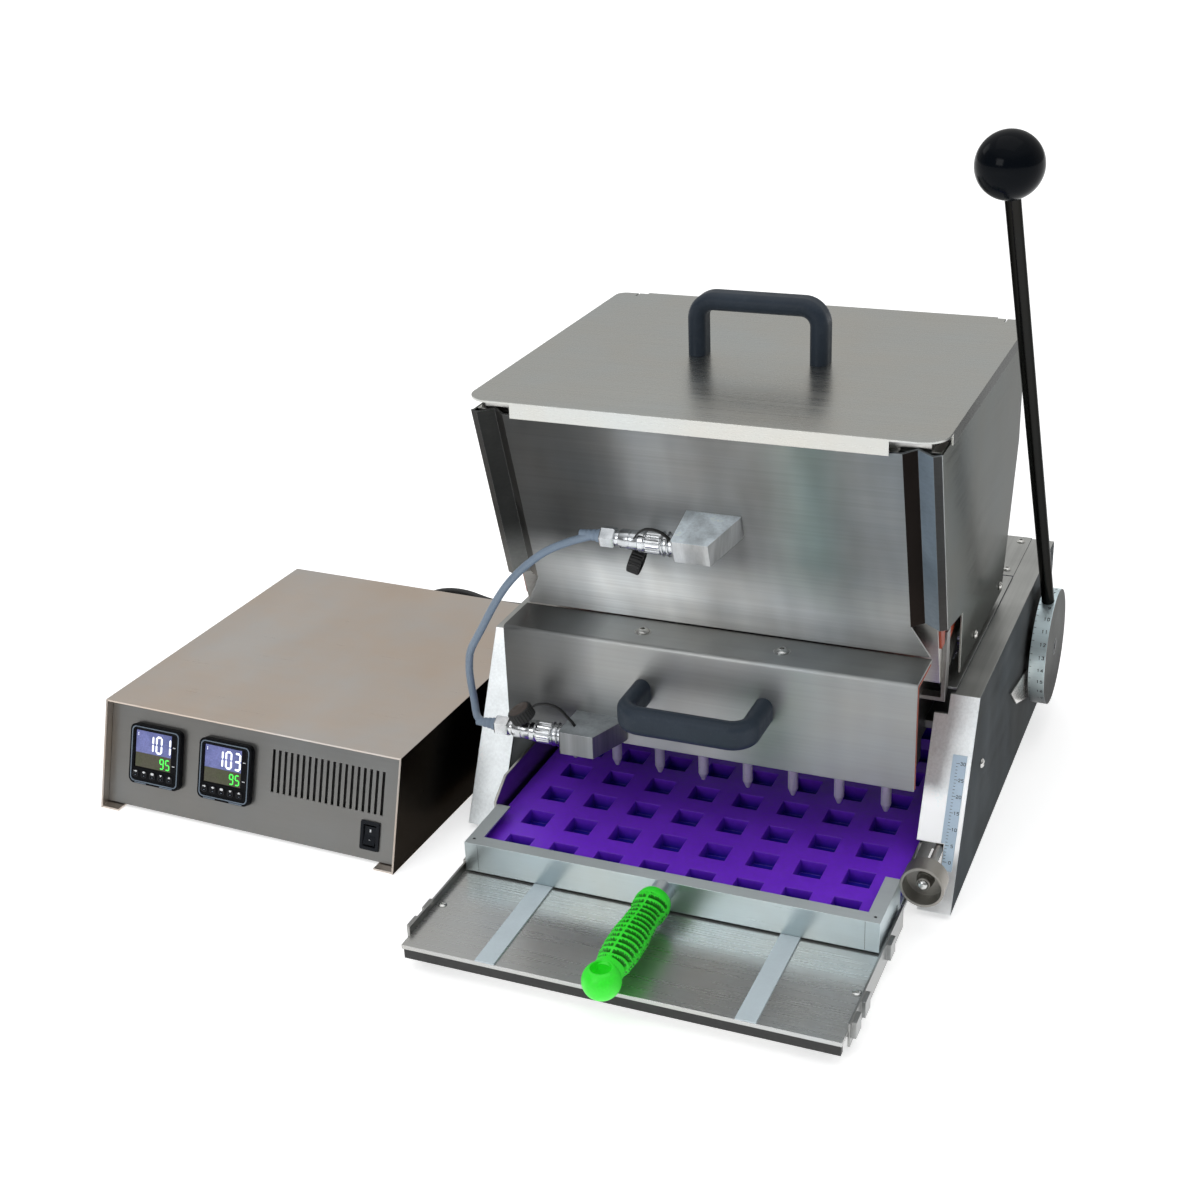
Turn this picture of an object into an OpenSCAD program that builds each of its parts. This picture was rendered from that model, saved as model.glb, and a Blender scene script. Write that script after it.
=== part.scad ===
/* [Machine body] */
// half width of the platform and base sheet in mm
base_half = 152.9; // [148:0.1:158]
// height of the base sheet's top face in mm
base_top = 20; // [18:0.5:22]
// height of the side panels in mm
panel_top = 139.9; // [136:0.1:144]
// outer face of the right panel from the middle in mm
panel_r = 180.6; // [180:0.1:184]
// outer face of the left panel from the middle in mm
panel_l = 192; // [190:0.5:196]
// thickness of the panels in mm
panel_t = 2; // [1.5:0.1:2.2]

/* [Hopper] */
// half width across the hopper's side covers in mm
hop_half = 162; // [160:0.2:162.4]
// lean of the hopper's front cover from upright in degrees
hop_lean = 16.7; // [15:0.1:18]
// thickness of the hopper's cover sheets in mm
cover_t = 1.5; // [1:0.1:2]
// half width of the lid in mm
lid_half = 164.7; // [164.4:0.1:168]
// top face of the lid in mm
lid_top = 351.3; // [351:0.1:354]

/* [Dispensing head] */
// distance between nozzles, and between cavity columns, in mm
pitch = 34.6; // [34:0.1:35]
// number of nozzles
nozzle_n = 8; // [8:1:8]
// radius of a nozzle in mm
nozzle_r = 3.75; // [3.5:0.05:4.25]
// radius of a piston in mm
piston_r = 9; // [8:0.1:9]
// length of a piston in mm
piston_len = 112; // [110:1:112]

/* [Mould and tray] */
// distance between cavity rows in mm
row_pitch = 36; // [35:0.1:36.2]
// side of a square cavity in mm
cavity = 19.5; // [18:0.5:22]
// depth of a cavity in mm
cavity_d = 10.5; // [8:0.5:11]
// half width of the tray in mm
tray_half = 151.3; // [150:0.1:151.5]
// top of the tray's front rail in mm
tray_top = 44.5; // [42:0.5:45]

/* [Lever] */
// distance from the lever's axis to the ball's centre in mm
lever_len = 523; // [480:1:560]
// radius of the ball in mm
ball_r = 20.4; // [18:0.1:24]
// radius of the scale disc in mm
disc_r = 47; // [44:0.5:50]
// forward lean of the lever at rest in degrees
lever_lean = 34.5; // [30:0.1:36]
// distance of the lever's line from the axis in mm
lever_offset = 15.6; // [0:0.1:18]
// radius of the lever rod in mm
rod_r = 4.9; // [4:0.1:5.2]

/* [Handles] */
// distance between a bridge handle's posts in mm
handle_span = 90; // [80:1:96]
// height of the handle's bar above its base in mm
handle_h = 40; // [36:1:44]

/* [Control box] */
// width of the control box in mm
box_w = 269; // [266:1:272]
// depth of the control box in mm
box_d = 299; // [296:1:302]
// height of the control box in mm
box_h = 84.4; // [84:0.1:86]
// lean of the front panel from upright in degrees
box_lean = 17.4; // [16:0.1:18]
// turn of the control box on the table in degrees
box_turn = -1.9; // [-3:0.1:0]
// how far the front panel sits back inside the cover in mm
panel_back = 5.7; // [4:0.1:7]
// side of a square controller bezel in mm
bezel = 48; // [48:0.5:48]

/* [Hidden] */
shift_x = 136.54;
shift_y = -4.51;
eps = 0.01;
axle_y = 218;
axle_z = 78;
head_y = -25.5;
row_y0 = head_y - 3*row_pitch;
knob_x = 166.3;
knob_z = 43;
bezel_u = [23.5, 89.2];
bezel_t = 25.5;
vent_n = 19;
tooth_p = 5.0265;
// jumper lead route, mm
jump_r = 2.8;
jump_pts = [[-67,-82.8,261.4],[-74,-83.2,260.8],[-91,-87,255.4],[-109,-91,246.2],[-127.4,-95,230],[-141,-98,212],[-156.4,-99,184.4],[-166.5,-97,166.4],[-171.5,-92,150],[-174.5,-86,135],[-176,-81,121],[-175,-81.5,114.5],[-172,-86,109.8],[-168,-91,108.3],[-162,-94.7,108.1],[-156,-95.5,108.2],[-150.4,-95.5,108.2]];
// control lead route, mm
lead_r = 3.2;
lead_pts = [[-379.1,167.4,45],[-378.8,177,45],[-376.5,188,46.5],[-368,199,51.5],[-354,203.5,56.5],[-339,204.5,58.4],[-324,204,57.7],[-309,203.5,54.6],[-295,203.5,52.8],[-280,204.5,52.4],[-262,205.5,52.2],[-240,206,52],[-222,206,52],[-205.5,206,52]];

module at() translate([shift_x, shift_y, 0]) children();
module yz(x0, x1) translate([x0, 0, 0]) rotate([90, 0, 90]) linear_extrude(x1 - x0) children();
module xz(y0, y1) translate([0, y1, 0]) rotate([90, 0, 0]) linear_extrude(y1 - y0) children();
module blk(a, b) translate(a) cube([b[0]-a[0], b[1]-a[1], b[2]-a[2]]);
module rodx(x0, x1, y, z, r, n = 48) translate([x0, y, z]) rotate([0, 90, 0]) cylinder(r = r, h = x1 - x0, $fn = n);
module rody(y0, y1, x, z, r, n = 48) translate([x, y0, z]) rotate([-90, 0, 0]) cylinder(r = r, h = y1 - y0, $fn = n);
module rodz(z0, z1, x, y, r, n = 48) translate([x, y, z0]) cylinder(r = r, h = z1 - z0, $fn = n);
module both() { children(); mirror([1, 0, 0]) children(); }
module lean() translate([0, -32.5, 178.9]) rotate([hop_lean, 0, 0]) children();
module bx() translate([-484.5, -144.3, 0]) rotate([0, 0, box_turn]) children();
module face() bx() rotate([90 - box_lean, 0, 0]) translate([0, 0, -panel_back]) children();
function nx(i) = (i - (nozzle_n - 1)/2)*pitch;

// ring sweep along smoothed points
function cr(a, b, c, d, t) = 0.5*((2*b) + (c - a)*t + (2*a - 5*b + 4*c - d)*t*t + (3*b - a - 3*c + d)*t*t*t);
function gp(p, i) = p[max(0, min(len(p) - 1, i))];
function fine(p, k) = [for (i = [0 : len(p) - 2]) for (j = [0 : k - 1]) cr(gp(p, i-1), gp(p, i), gp(p, i+1), gp(p, i+2), j/k), p[len(p)-1]];
function unit(v) = v/norm(v);
function tan_at(q, i) = unit(gp(q, i+1) - gp(q, i-1));
function frame_n(q, i) = i == 0 ? unit(cross(tan_at(q, 0), [0.13, 0.21, 0.97])) : let(a = frame_n(q, i-1), t = tan_at(q, i)) unit(a - (a*t)*t);
module sweep(p, r, k, m) {
    q = fine(p, k);
    pts = [for (i = [0 : len(q) - 1]) let(t = tan_at(q, i), n = frame_n(q, i), b = cross(t, n)) for (j = [0 : m - 1]) q[i] + r*(cos(360*j/m)*n + sin(360*j/m)*b)];
    side = [for (i = [0 : len(q) - 2]) for (j = [0 : m - 1]) [i*m + j, i*m + (j+1)%m, (i+1)*m + (j+1)%m, (i+1)*m + j]];
    polyhedron(points = pts, faces = concat([[for (j = [m-1 : -1 : 0]) j]], side, [[for (j = [0 : m - 1]) (len(q) - 1)*m + j]]), convexity = 6);
}

module base_plate() color("silver") at() difference() {
    blk([-base_half, -75.5, base_top - 3], [base_half, 286, base_top]);
    both() rodz(base_top - 4, base_top + 1, 90.7, 100, 1.8, 24);
}
module front_platform() color("silver") at() difference() {
    blk([-base_half, -252.7, base_top - 3], [base_half, -76, base_top]);
    both() rodz(base_top - 4, base_top + 1, 148.2, -201, 1.8, 24);
    both() rodz(base_top - 4, base_top + 1, 148.2, -100, 1.8, 24);
}
module platform_fasteners() color("gray") at() both() for (y = [-201, -100]) {
    rodz(base_top - 3, base_top, 148.2, y, 1.75, 24);
    rodz(base_top, base_top + 1.2, 148.2, y, 3.2, 32);
}
module platform_edge_trim() color("black") at() {
    blk([-base_half + 1, -251.5, 9], [base_half - 1, -247, base_top - 3]);
}
module platform_rails() color("silver") at() both() {
    blk([base_half, -240, 8], [base_half + 1.5, -104, 25.5]);
    blk([base_half - 12, -240, 15.4], [base_half, -104, 17]);
    for (y = [-236, -214, -150]) blk([base_half + 1.5, y, 12], [base_half + 4.5, y + 12, 24]);
}
module slide_strips() color("white") at() both() blk([83.7, -252.6, base_top], [97.7, 180, base_top + 1.2]);
module base_feet() color("black") at() {
    both() rodz(0, base_top - 3, 130, -225, 9, 40);
    both() rodz(0, base_top - 3, 130, 265, 9, 40);
}
module panel_feet() color("black") at() for (x = [-183, 171.5]) for (y = [-45, 262]) rodz(0, 4, x, y, 7, 40);

module panel_plan() polygon([[-74.4, 4], [-6, panel_top], [288, panel_top], [288, 4]]);
module side_panel_right() color("silver") at() difference() {
    union() {
        yz(panel_r - panel_t, panel_r) panel_plan();
        blk([162.6, -6, panel_top - 2], [panel_r - panel_t, 288, panel_top]);
        yz(150.2, panel_r - panel_t) polygon([[-74.4, 4], [-6, panel_top], [-3.8, panel_top], [-72.2, 4]]);
        blk([163, -68, 4], [panel_r - panel_t, 286, 5.5]);
    }
    blk([149, -90, 3], [157, -30, 46.6]);
    blk([156, -90, 20], [169.3, -30, 46.6]);
    blk([149, -20, 127], [159.8, 0, 141]);
    rodx(panel_r - 3, panel_r + 1, axle_y, axle_z, 9.03);
}
module side_panel_left() color("silver") at() difference() {
    union() {
        yz(-panel_l, -panel_l + panel_t) panel_plan();
        blk([-panel_l + panel_t, -6, panel_top - 2], [-174, 288, panel_top]);
        yz(-panel_l + panel_t, -165) polygon([[-74.4, 4], [-6, panel_top], [-3.8, panel_top], [-72.2, 4]]);
        blk([-panel_l + panel_t, -68, 4], [-175, 286, 5.5]);
    }
    rodx(-panel_l - 1, -panel_l + 3, axle_y, axle_z, 9.03);
    rodx(-panel_l - 1, -panel_l + 3, 206, 52, 6.05);
}
module panel_fasteners() color("gray") at() {
    for (p = [[9.6, 79.8]]) {
        rodx(panel_r, panel_r + 2.4, p[0], p[1], 3.6, 32);
        rodx(-panel_l - 2.4, -panel_l, p[0], p[1], 3.6, 32);
    }
    for (x = [-162, 155]) for (y = [219, 279]) rodz(panel_top, panel_top + 2, x, y, 3.4, 32);
}
module rear_sheet() color("silver") at() {
    blk([-panel_l, 288, 4], [panel_r, 290, panel_top - 2]);
}
module top_sheet() color("silver") at() blk([-173.7, 208, panel_top - 2], [162.3, 290, panel_top]);
module tray_guides() color("silver") at() {
    yz(152.3, 154.3) polygon([[-86, base_top], [-86, 43], [-80, 45.6], [-41, 45.6], [-41, 58], [270, 58], [270, base_top]]);
    yz(-154.3, -152.3) polygon([[-102, base_top], [-102, 46], [-83, 58], [270, 58], [270, base_top]]);
}
module quantity_scale() color("lightblue") at() {
    yz(169.9, 177.2) polygon([[-60.88, 31], [-24.64, 103], [-25.3, 103], [-61.54, 31]]);
    yz(167.4, 171) polygon([[-52.53, 47.6], [-24.64, 103], [-25.3, 103], [-53.19, 47.6]]);
}
module disc_pointer() color("silver") at() difference() {
    yz(panel_r, panel_r + 2) polygon([[110, 86], [180, 73.4], [188, 44], [137, 64]]);
    rodx(panel_r - 1, panel_r + 3, 170, 61, 2.2, 24);
}
module shaft_bushes() color("peru") at() {
    difference() { union() { rodx(panel_r - 6, panel_r, axle_y, axle_z, 9); rodx(panel_r, panel_r + 2, axle_y, axle_z, 12); } rodx(panel_r - 7, panel_r + 3, axle_y, axle_z, 6.05); }
    difference() { union() { rodx(-panel_l, -panel_l + 6, axle_y, axle_z, 9); rodx(-panel_l - 2, -panel_l, axle_y, axle_z, 12); } rodx(-panel_l - 3, -panel_l + 7, axle_y, axle_z, 6.05); }
}
module body_gland() color("black") at() {
    rodx(-205.5, -192, 206, 52, 7.5, 40);
    rodx(-192, -184, 206, 52, 6, 40);
    rodx(-190, -187, 206, 52, 8.5, 40);
}

module hopper_tank() color("silver") at() difference() {
    union() {
        yz(-154, 154) polygon([[-72.6, 343], [-72.6, 349.6], [190, 349.6], [190, 268], [16, 152], [-16, 152], [-20.6, 168]]);
        difference() { blk([-160.4, -79, 339.5], [160.4, 196.4, 341]); both() blk([134, -80, 339], [161, -72, 342]); }
    }
    yz(-152.4, 152.4) polygon([[-70.7, 343], [-70.7, 351], [188.4, 351], [188.4, 268.9], [15.4, 153.6], [-14.9, 153.6], [-18.8, 168]]);
    for (i = [0 : nozzle_n - 1]) rodz(151, 155, nx(i), 2, 5, 32);
}
module hopper_front_cover() color("silver") at() lean() {
    translate([0, 0, 25.2]) linear_extrude(143.9) polygon([[-162,2],[-157,0],[-146,6],[-137.5,0],[137.5,0],[146,6],[157,0],[162,2],[162,3.5],[156.8,1.7],[146,7.8],[137,1.5],[-137,1.5],[-146,7.8],[-156.8,1.7],[-162,3.5]]);
    rotate([90, 0, 0]) translate([0, 0, -1.5]) linear_extrude(1.5) polygon([[-150, 0], [-137.5, 25.3], [137.5, 25.3], [150, 0]]);
}
module side_sheet() yz(hop_half - cover_t, hop_half) polygon([[-77.2, 341], [-35.9, 203], [12, 195], [12, 148], [160, 148], [163, 160], [198, 258], [198, 341]]);
module hopper_right() color("silver") at() difference() { side_sheet(); rodx(158, 164, 150, 156, 1.8, 24); rodx(158, 164, 60, 156, 1.8, 24); }
module hopper_left() color("silver") at() mirror([1, 0, 0]) difference() { side_sheet(); rodx(158, 164, 150, 156, 1.8, 24); rodx(158, 164, 60, 156, 1.8, 24); }
module hopper_fasteners() color("gray") at() both() for (y = [60, 150]) { rodx(157, 162, y, 156, 1.75, 24); rodx(162, 164, y, 156, 3.2, 32); }
module hopper_back() color("silver") at() yz(-hop_half + cover_t, hop_half - cover_t) polygon([[198, 341], [198, 258], [163, 160], [158, 148], [156.4, 148], [161.4, 160.3], [196.5, 258.3], [196.5, 341]]);
module hopper_lugs() color("silver") at() both() difference() {
    union() { blk([154, -12, 136], [157, -3, 190]); blk([140, -12, 136], [154, -3, 139]); blk([154, 48, 150], [157, 155.5, 162]); }
    rodx(153, 158, 60, 156, 1.8, 24); rodx(153, 158, 150, 156, 1.8, 24);
}
module tank_mats() color("red") at() {
    lean() translate([0, 0, 2]) blk([-134, 6.2, 0], [134, 8, 152]);
    both() yz(154, 155.6) polygon([[-66, 330], [-27, 196], [-23, 182], [-14, 182], [-14, 192], [-1, 192], [-1, 176], [40, 190], [150, 262], [180, 280], [180, 330]]);
}

module metering_block() color("silver") at() difference() {
    blk([-140, -62, 100], [140, 92, 152]);
    for (i = [0 : nozzle_n - 1]) {
        rody(-30, 93, nx(i), 126, 9.06);
        rodz(126, 153, nx(i), 2, 5, 32);
        rodz(99, 126, nx(i), head_y, 3, 32);
    }
}
module nozzle_block() color("silver") at() difference() {
    blk([-140, head_y - 17, 84], [140, head_y + 21, 100]);
    for (i = [0 : nozzle_n - 1]) {
        rodz(83, 101, nx(i), head_y, 3, 32);
        rodz(83, 92, nx(i), head_y, nozzle_r + 0.05, 40);
    }
}
module nozzles() color("white") at() for (i = [0 : nozzle_n - 1]) translate([nx(i), head_y, 0]) difference() {
    union() {
        translate([0, 0, 54.4]) cylinder(r = nozzle_r, h = 37.6, $fn = 48);
        translate([0, 0, 48.6]) cylinder(r1 = 1.4, r2 = nozzle_r, h = 5.8, $fn = 48);
    }
    translate([0, 0, 47]) cylinder(r = 0.9, h = 8, $fn = 32);
    translate([0, 0, 54.4]) cylinder(r = 2.6, h = 40, $fn = 32);
}
module block_brackets() color("silver") at() {
    blk([140, 5, 104], [panel_r - panel_t, 80, 110]);
    blk([-panel_l + panel_t, 5, 104], [-140, 80, 110]);
}
module cover_plan() {
    difference() {
        union() { translate([3, -3]) circle(r = 3, $fn = 64); translate([0, -81]) square([1.5, 78]); translate([3, -1.5]) square([38, 1.5]); }
        translate([3, -3]) circle(r = 1.5, $fn = 64);
        translate([1.5, -7]) square([6, 4]);
        translate([3, -7]) square([6, 5.5]);
    }
}
module nozzle_cover() color("silver") at() difference() {
    translate([0, -73.5, 177.8]) yz(-151.3, 151.3) cover_plan();
    both() rodz(170, 180, 51.5, -52.5, 2.1, 24);
}
module head_mat() color("red") at() difference() {
    yz(-151.6, 151.6) polygon([[-71.8, 97.5], [-71.8, 174.8], [-71.42, 175.72], [-70.5, 176.1], [-36, 176.1], [-36, 174.7], [-70.3, 174.7], [-70.3, 97.5]]);
    both() rodz(170, 180, 51.5, -52.5, 2.2, 24);
}
module cover_standoffs() color("silver") at() both() difference() { rodz(152, 174.7, 51.5, -52.5, 5, 40); rodz(151, 176, 51.5, -52.5, 2.05, 24); }
module nozzle_cover_fasteners() color("gray") at() both() {
    rodz(156, 177.8, 51.5, -52.5, 2, 24);
    rodz(177.8, 179, 51.5, -52.5, 5, 40);
    translate([51.5, -52.5, 179]) cylinder(r1 = 5, r2 = 3, h = 1.4, $fn = 40);
}
module hsec() { square([13, 8], center = true); translate([0, 4]) circle(r = 6.5, $fn = 48); translate([0, -4]) circle(r = 6.5, $fn = 48); }
module bridge_handle() {
    for (s = [-1, 1]) translate([s*handle_span/2, 0, 0]) linear_extrude(handle_h - 13) hsec();
    translate([-handle_span/2 + 13, 0, handle_h]) rotate([0, 90, 0]) linear_extrude(handle_span - 26) hsec();
    both() translate([handle_span/2 - 13, 0, handle_h - 13]) rotate([90, 0, 0]) rotate_extrude(angle = 90, $fn = 64) translate([13, 0]) hsec();
}
module cover_handle() color("black") at() translate([0, -73.5, 140.6]) rotate([90, 0, 0]) bridge_handle();

module conn_block(w) linear_extrude(w) polygon([[-13, 0], [-13, -33], [-11.5, -34.5], [13.5, -34.5], [25.7, -2], [25.7, 0]]);
module upper_block() color("silver") at() lean() translate([0, 0, 87]) difference() { conn_block(17.2); rodx(-14, -2, -24.5, 6.5, 6.03); }
module lower_block() color("silver") at() translate([-83.4, -73.5, 100.4]) difference() { conn_block(17.2); rodx(-14, -2, -22, 7.8, 6.03); }
module plug_body() {
    rodx(-34, -2.5, 0, 0, 6);
    for (i = [0 : 4]) rodx(-15.2 - 4*i, -13.2 - 4*i, 0, 0, 8.8);
    rodx(-34, -13, 0, 0, 7.4);
    rodx(-39, -34, 0, 0, 7.8);
    rodx(-53, -39, 0, 0, 6.9);
    rodx(-56, -53, 0, 0, 5.4);
    translate([-67, 0, 0]) rotate([0, 90, 0]) cylinder(r = 7.5, h = 11, $fn = 6);
}
module upper_plug() color("lightgray") at() lean() translate([0, -24.5, 93.5]) plug_body();
module lower_plug() color("lightgray") at() translate([-83.4, -95.5, 108.2]) plug_body();
module dust_cap() difference() {
    cylinder(r = 9, h = 9.2, $fn = 48);
    translate([0, 0, -1]) cylinder(r = 7.6, h = 8, $fn = 40);
}
module dust_caps() color("black") at() {
    translate([-46.5, -72, 241.3]) rotate([0, 0, 6]) rotate([0, 108, 0]) translate([0, 0, -4.6]) dust_cap();
    translate([-128.7, -103, 128.2]) rotate([0, 0, 26.4]) rotate([0, -27, 0]) translate([0, 0, -9.2]) dust_cap();
}

module lid_panel() color("silver") at() difference() {
    union() {
        blk([-lid_half + 18, -85.4, lid_top - 1.5], [lid_half - 18, 199, lid_top]);
        blk([-lid_half, -67.4, lid_top - 1.5], [lid_half, 191, lid_top]);
        both() rodz(lid_top - 1.5, lid_top, lid_half - 18, -67.4, 18, 64);
        both() rodz(lid_top - 1.5, lid_top, lid_half - 8, 191, 8, 64);
        both() blk([148, 183, lid_top - 1.5], [156, 199, lid_top]);
        blk([-130, -85.4, 340.2], [130, -83.9, lid_top]);
        blk([-140, 200.5, 340.2], [140, 202, lid_top]);
        blk([-140, 198, lid_top - 1.5], [140, 202, lid_top]);
        both() blk([lid_half - 1.5, -60, 342], [lid_half, 186, lid_top]);
    }
}
module lid_handle() color("black") at() translate([0, 56.8, lid_top]) bridge_handle();

module tray_sheet() color("silver") at() {
    blk([-tray_half, -157.1, 21.5], [tray_half, 150, 23]);
    blk([-tray_half, -157.1, 21.5], [tray_half, -155.6, tray_top]);
    blk([-tray_half, -157.1, tray_top - 1.5], [tray_half, -146.4, tray_top]);
    both() { blk([tray_half - 1.5, -157.1, 21.5], [tray_half, -102, tray_top]); blk([tray_half - 10.5, -157.1, tray_top - 1.5], [tray_half, -102, tray_top]); }
    blk([-tray_half, 148.5, 21.5], [tray_half, 150, 36]);
}
module mould() color("purple") at() difference() {
    blk([-149.4, -155.2, 23.1], [149.4, 148.2, 35.9]);
    for (i = [0 : 7]) for (j = [0 : 7]) translate([nx(i) - cavity/2, row_y0 + j*row_pitch - cavity/2, 35.9 - cavity_d]) cube([cavity, cavity, cavity_d + 1]);
}
module grip_rod() color("gray") at() difference() {
    rody(-215, -157.1, 0, 37.5, 8);
    rody(-216, -170, 0, 37.5, 3, 32);
}
module grip_handle() color("lime") at() translate([0, 0, 38.5]) rotate([90, 0, 0]) difference() {
    union() {
        rotate_extrude($fn = 64) polygon([[8.3, 172], [11.2, 173], [12.6, 178], [12.4, 184], [10.6, 192], [11.4, 204], [12.4, 218], [12.6, 232], [11.8, 246], [10.6, 256], [11.0, 262], [0, 262], [0, 218], [8.3, 218]]);
        translate([0, 0, 268]) sphere(r = 13, $fn = 64);
    }
    translate([0, 3, 266]) rotate([90, 0, 0]) translate([0, 0, -20]) cylinder(r = 6.8, h = 40, $fn = 48);
    translate([0, -1, 171]) cylinder(r = 8.1, h = 46, $fn = 48);
}

module shaft_bar() color("gray") at() rodx(-196, 193, axle_y, axle_z, 6);
module scale_disc() color("silver") at() difference() {
    union() { rodx(184.7, 197.3, axle_y, axle_z, disc_r, 128); rodx(182.8, 184.7, axle_y, axle_z, 10); }
    rodx(182, 198, axle_y, axle_z, 6.02);
    translate([191, axle_y, axle_z]) rotate([lever_lean, 0, 0]) translate([0, lever_offset, 30]) cylinder(r = rod_r + 0.05, h = 20, $fn = 48);
}
module lever_rod() color("dimgray") at() translate([191, axle_y, axle_z]) rotate([lever_lean, 0, 0]) translate([0, lever_offset, 30.2]) cylinder(r = rod_r, h = lever_len - 40, $fn = 48);
module lever_ball() color("black") at() translate([191, axle_y, axle_z]) rotate([lever_lean, 0, 0]) translate([0, lever_offset, 0]) difference() {
    union() { translate([0, 0, lever_len]) sphere(r = ball_r, $fn = 96); translate([0, 0, lever_len - ball_r - 1.5]) cylinder(r = 7.6, h = 6, $fn = 48); }
    translate([0, 0, lever_len - ball_r - 3]) cylinder(r = rod_r + 0.05, h = ball_r - 7 + 3.2, $fn = 48);
}
module pinions() color("gray") at() for (x = [-127, 113]) translate([x, axle_y, axle_z]) rotate([90, 0, 90]) difference() {
    linear_extrude(14) { circle(r = 14.5, $fn = 64); for (k = [0 : 19]) rotate([0, 0, 18*k]) polygon([[-1.5, 13.8], [-1, 16], [-0.55, 17.2], [0.55, 17.2], [1, 16], [1.5, 13.8]]); }
    translate([0, 0, -1]) cylinder(r = 6.02, h = 16, $fn = 48);
}
module stop_arm() color("gray") at() translate([163.5, axle_y, axle_z]) rotate([40, 0, 0]) difference() {
    union() { rodx(0, 8, 0, 0, 11); blk([0, -4.5, -29], [8, 4.5, 0]); }
    rodx(-1, 9, 0, 0, 6.02);
}
module crosshead() color("silver") at() difference() {
    blk([-138, 104, 112.2], [138, 118, 140]);
    for (i = [0 : nozzle_n - 1]) rody(103, 119, nx(i), 126, 3.02, 32);
}
module pistons() color("gainsboro") at() for (i = [0 : nozzle_n - 1]) {
    rody(-8, -8 + piston_len, nx(i), 126, piston_r);
    rody(104, 120, nx(i), 126, 3, 32);
    rody(118, 121.5, nx(i), 126, 5, 32);
}
module racks() color("gray") at() both() yz(113, 127) polygon(concat([[104, 112.2], [104, 96.2]],
    [for (n = [-7 : 6]) for (q = [[-1.45, 96.2], [-1, 94], [-0.55, 92.8], [0.55, 92.8], [1, 94], [1.45, 96.2]]) [axle_y + (n + 0.5)*tooth_p + q[0], q[1]]],
    [[262, 96.2], [262, 104], [119, 104], [119, 112.2]]));
module rack_guide_bar() color("silver") at() difference() {
    blk([-panel_l + panel_t, 205, 104.3], [panel_r - panel_t, 231, 116]);
    blk([-150, 204, 100], [-80, 232, 104.4]);
    blk([80, 204, 100], [150, 232, 104.4]);
}

module knob_cup() color("silver") at() difference() {
    rody(-105.5, -90, knob_x, knob_z, 15, 64);
    rody(-106.5, -92.5, knob_x, knob_z, 13.4, 64);
    rody(-94, -89, knob_x, knob_z, 2.52, 32);
}
module knob_rod() color("gray") at() {
    rody(-90, 240, knob_x, knob_z, 3, 40);
    rody(-92.5, -90, knob_x, knob_z, 2.5, 32);
    rody(-96.5, -92.5, knob_x, knob_z, 4, 32);
}
module quantity_stop() color("peru") at() difference() {
    blk([160, 180, 36], [175, 199, 58]);
    rody(179, 200, knob_x, knob_z, 3.06, 40);
}
module quantity_brackets() color("silver") at() difference() {
    union() { blk([159, -44, 36], [panel_r - panel_t, -36, 50]); blk([159, 228, 36], [panel_r - panel_t, 236, 48]); }
    rody(-45, 237, knob_x, knob_z, 3.06, 40);
}

module box_cover() color("tan") at() bx() {
    for (u = [0, box_w - 1.5]) yz(u, u + 1.5) polygon([[0.2, 0.3], [26.5, box_h], [box_d, box_h], [box_d, 0.3]]);
    blk([0, 26.4, box_h - 1.5], [box_w, box_d, box_h]);
    blk([1.5, 0.6, 0.3], [17, box_d, 1.8]);
    blk([box_w - 17, 0.6, 0.3], [box_w - 1.5, box_d, 1.8]);
}
module box_front_panel() color("tan") at() face() difference() {
    blk([1.7, 5, -3.5], [box_w - 1.7, 88.6, -1.5]);
    for (u = bezel_u) blk([u + 1.7, bezel_t + 1.7, -4.5], [u + bezel - 1.7, bezel_t + bezel - 1.7, -0.5]);
    for (i = [0 : vent_n - 1]) translate([154.7 + 5.38*i, 0, 0]) blk([-1.2, 40.5, -4.5], [1.2, 74, -0.5]);
    blk([236.9, 14.1, -4.5], [249.9, 33.1, -0.5]);
}
module box_pan() color("silver") at() bx() {
    blk([1.8, 13, 4.6], [box_w - 1.8, box_d - 3, 6.1]);
}
module box_back() color("tan") at() bx() difference() {
    blk([1.7, box_d - 3, 4.6], [box_w - 1.7, box_d - 1, box_h - 1.6]);
    translate([95, box_d - 2, 45]) rotate([90, 0, 0]) cylinder(r = 6.05, h = 8, center = true, $fn = 40);
    blk([40.3, box_d - 5, 26], [67.7, box_d, 46]);
}
module box_feet() color("black") at() bx() for (u = [26, box_w - 26]) for (v = [28, box_d - 25]) translate([u, v, 0]) cylinder(r = 8, h = 4.6, $fn = 40);
module controller_cases() color("black") at() face() for (u = bezel_u) {
    difference() {
        blk([u, bezel_t, -1.5], [u + bezel, bezel_t + bezel, 3.2]);
        blk([u + 4.5, bezel_t + 13, 1.4], [u + bezel - 4.5, bezel_t + bezel - 4, 4]);
        for (k = [0 : 4]) blk([u + 3.9 + 8.1*k, bezel_t + 5.2, -1], [u + 9.9 + 8.1*k, bezel_t + 11.2, 4]);
    }
    blk([u + 2, bezel_t + 2, -58], [u + bezel - 2, bezel_t + bezel - 2, -1.5]);
}
module display_lenses() color("darkblue") at() face() for (u = bezel_u) blk([u + 4.6, bezel_t + 13.1, 1.4], [u + bezel - 4.6, bezel_t + bezel - 4.1, 2.4]);
module cbutton(c, k) face() translate([bezel_u[c] + 4.1 + 8.1*k, bezel_t + 5.4, 0.6]) cube([5.6, 5.6, 3.4]);
module left_button_1() color("white") at() cbutton(0, 0);
module left_button_2() color("white") at() cbutton(0, 1);
module left_button_3() color("white") at() cbutton(0, 2);
module left_button_4() color("white") at() cbutton(0, 3);
module left_button_5() color("white") at() cbutton(0, 4);
module right_button_1() color("white") at() cbutton(1, 0);
module right_button_2() color("white") at() cbutton(1, 1);
module right_button_3() color("white") at() cbutton(1, 2);
module right_button_4() color("white") at() cbutton(1, 3);
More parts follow.
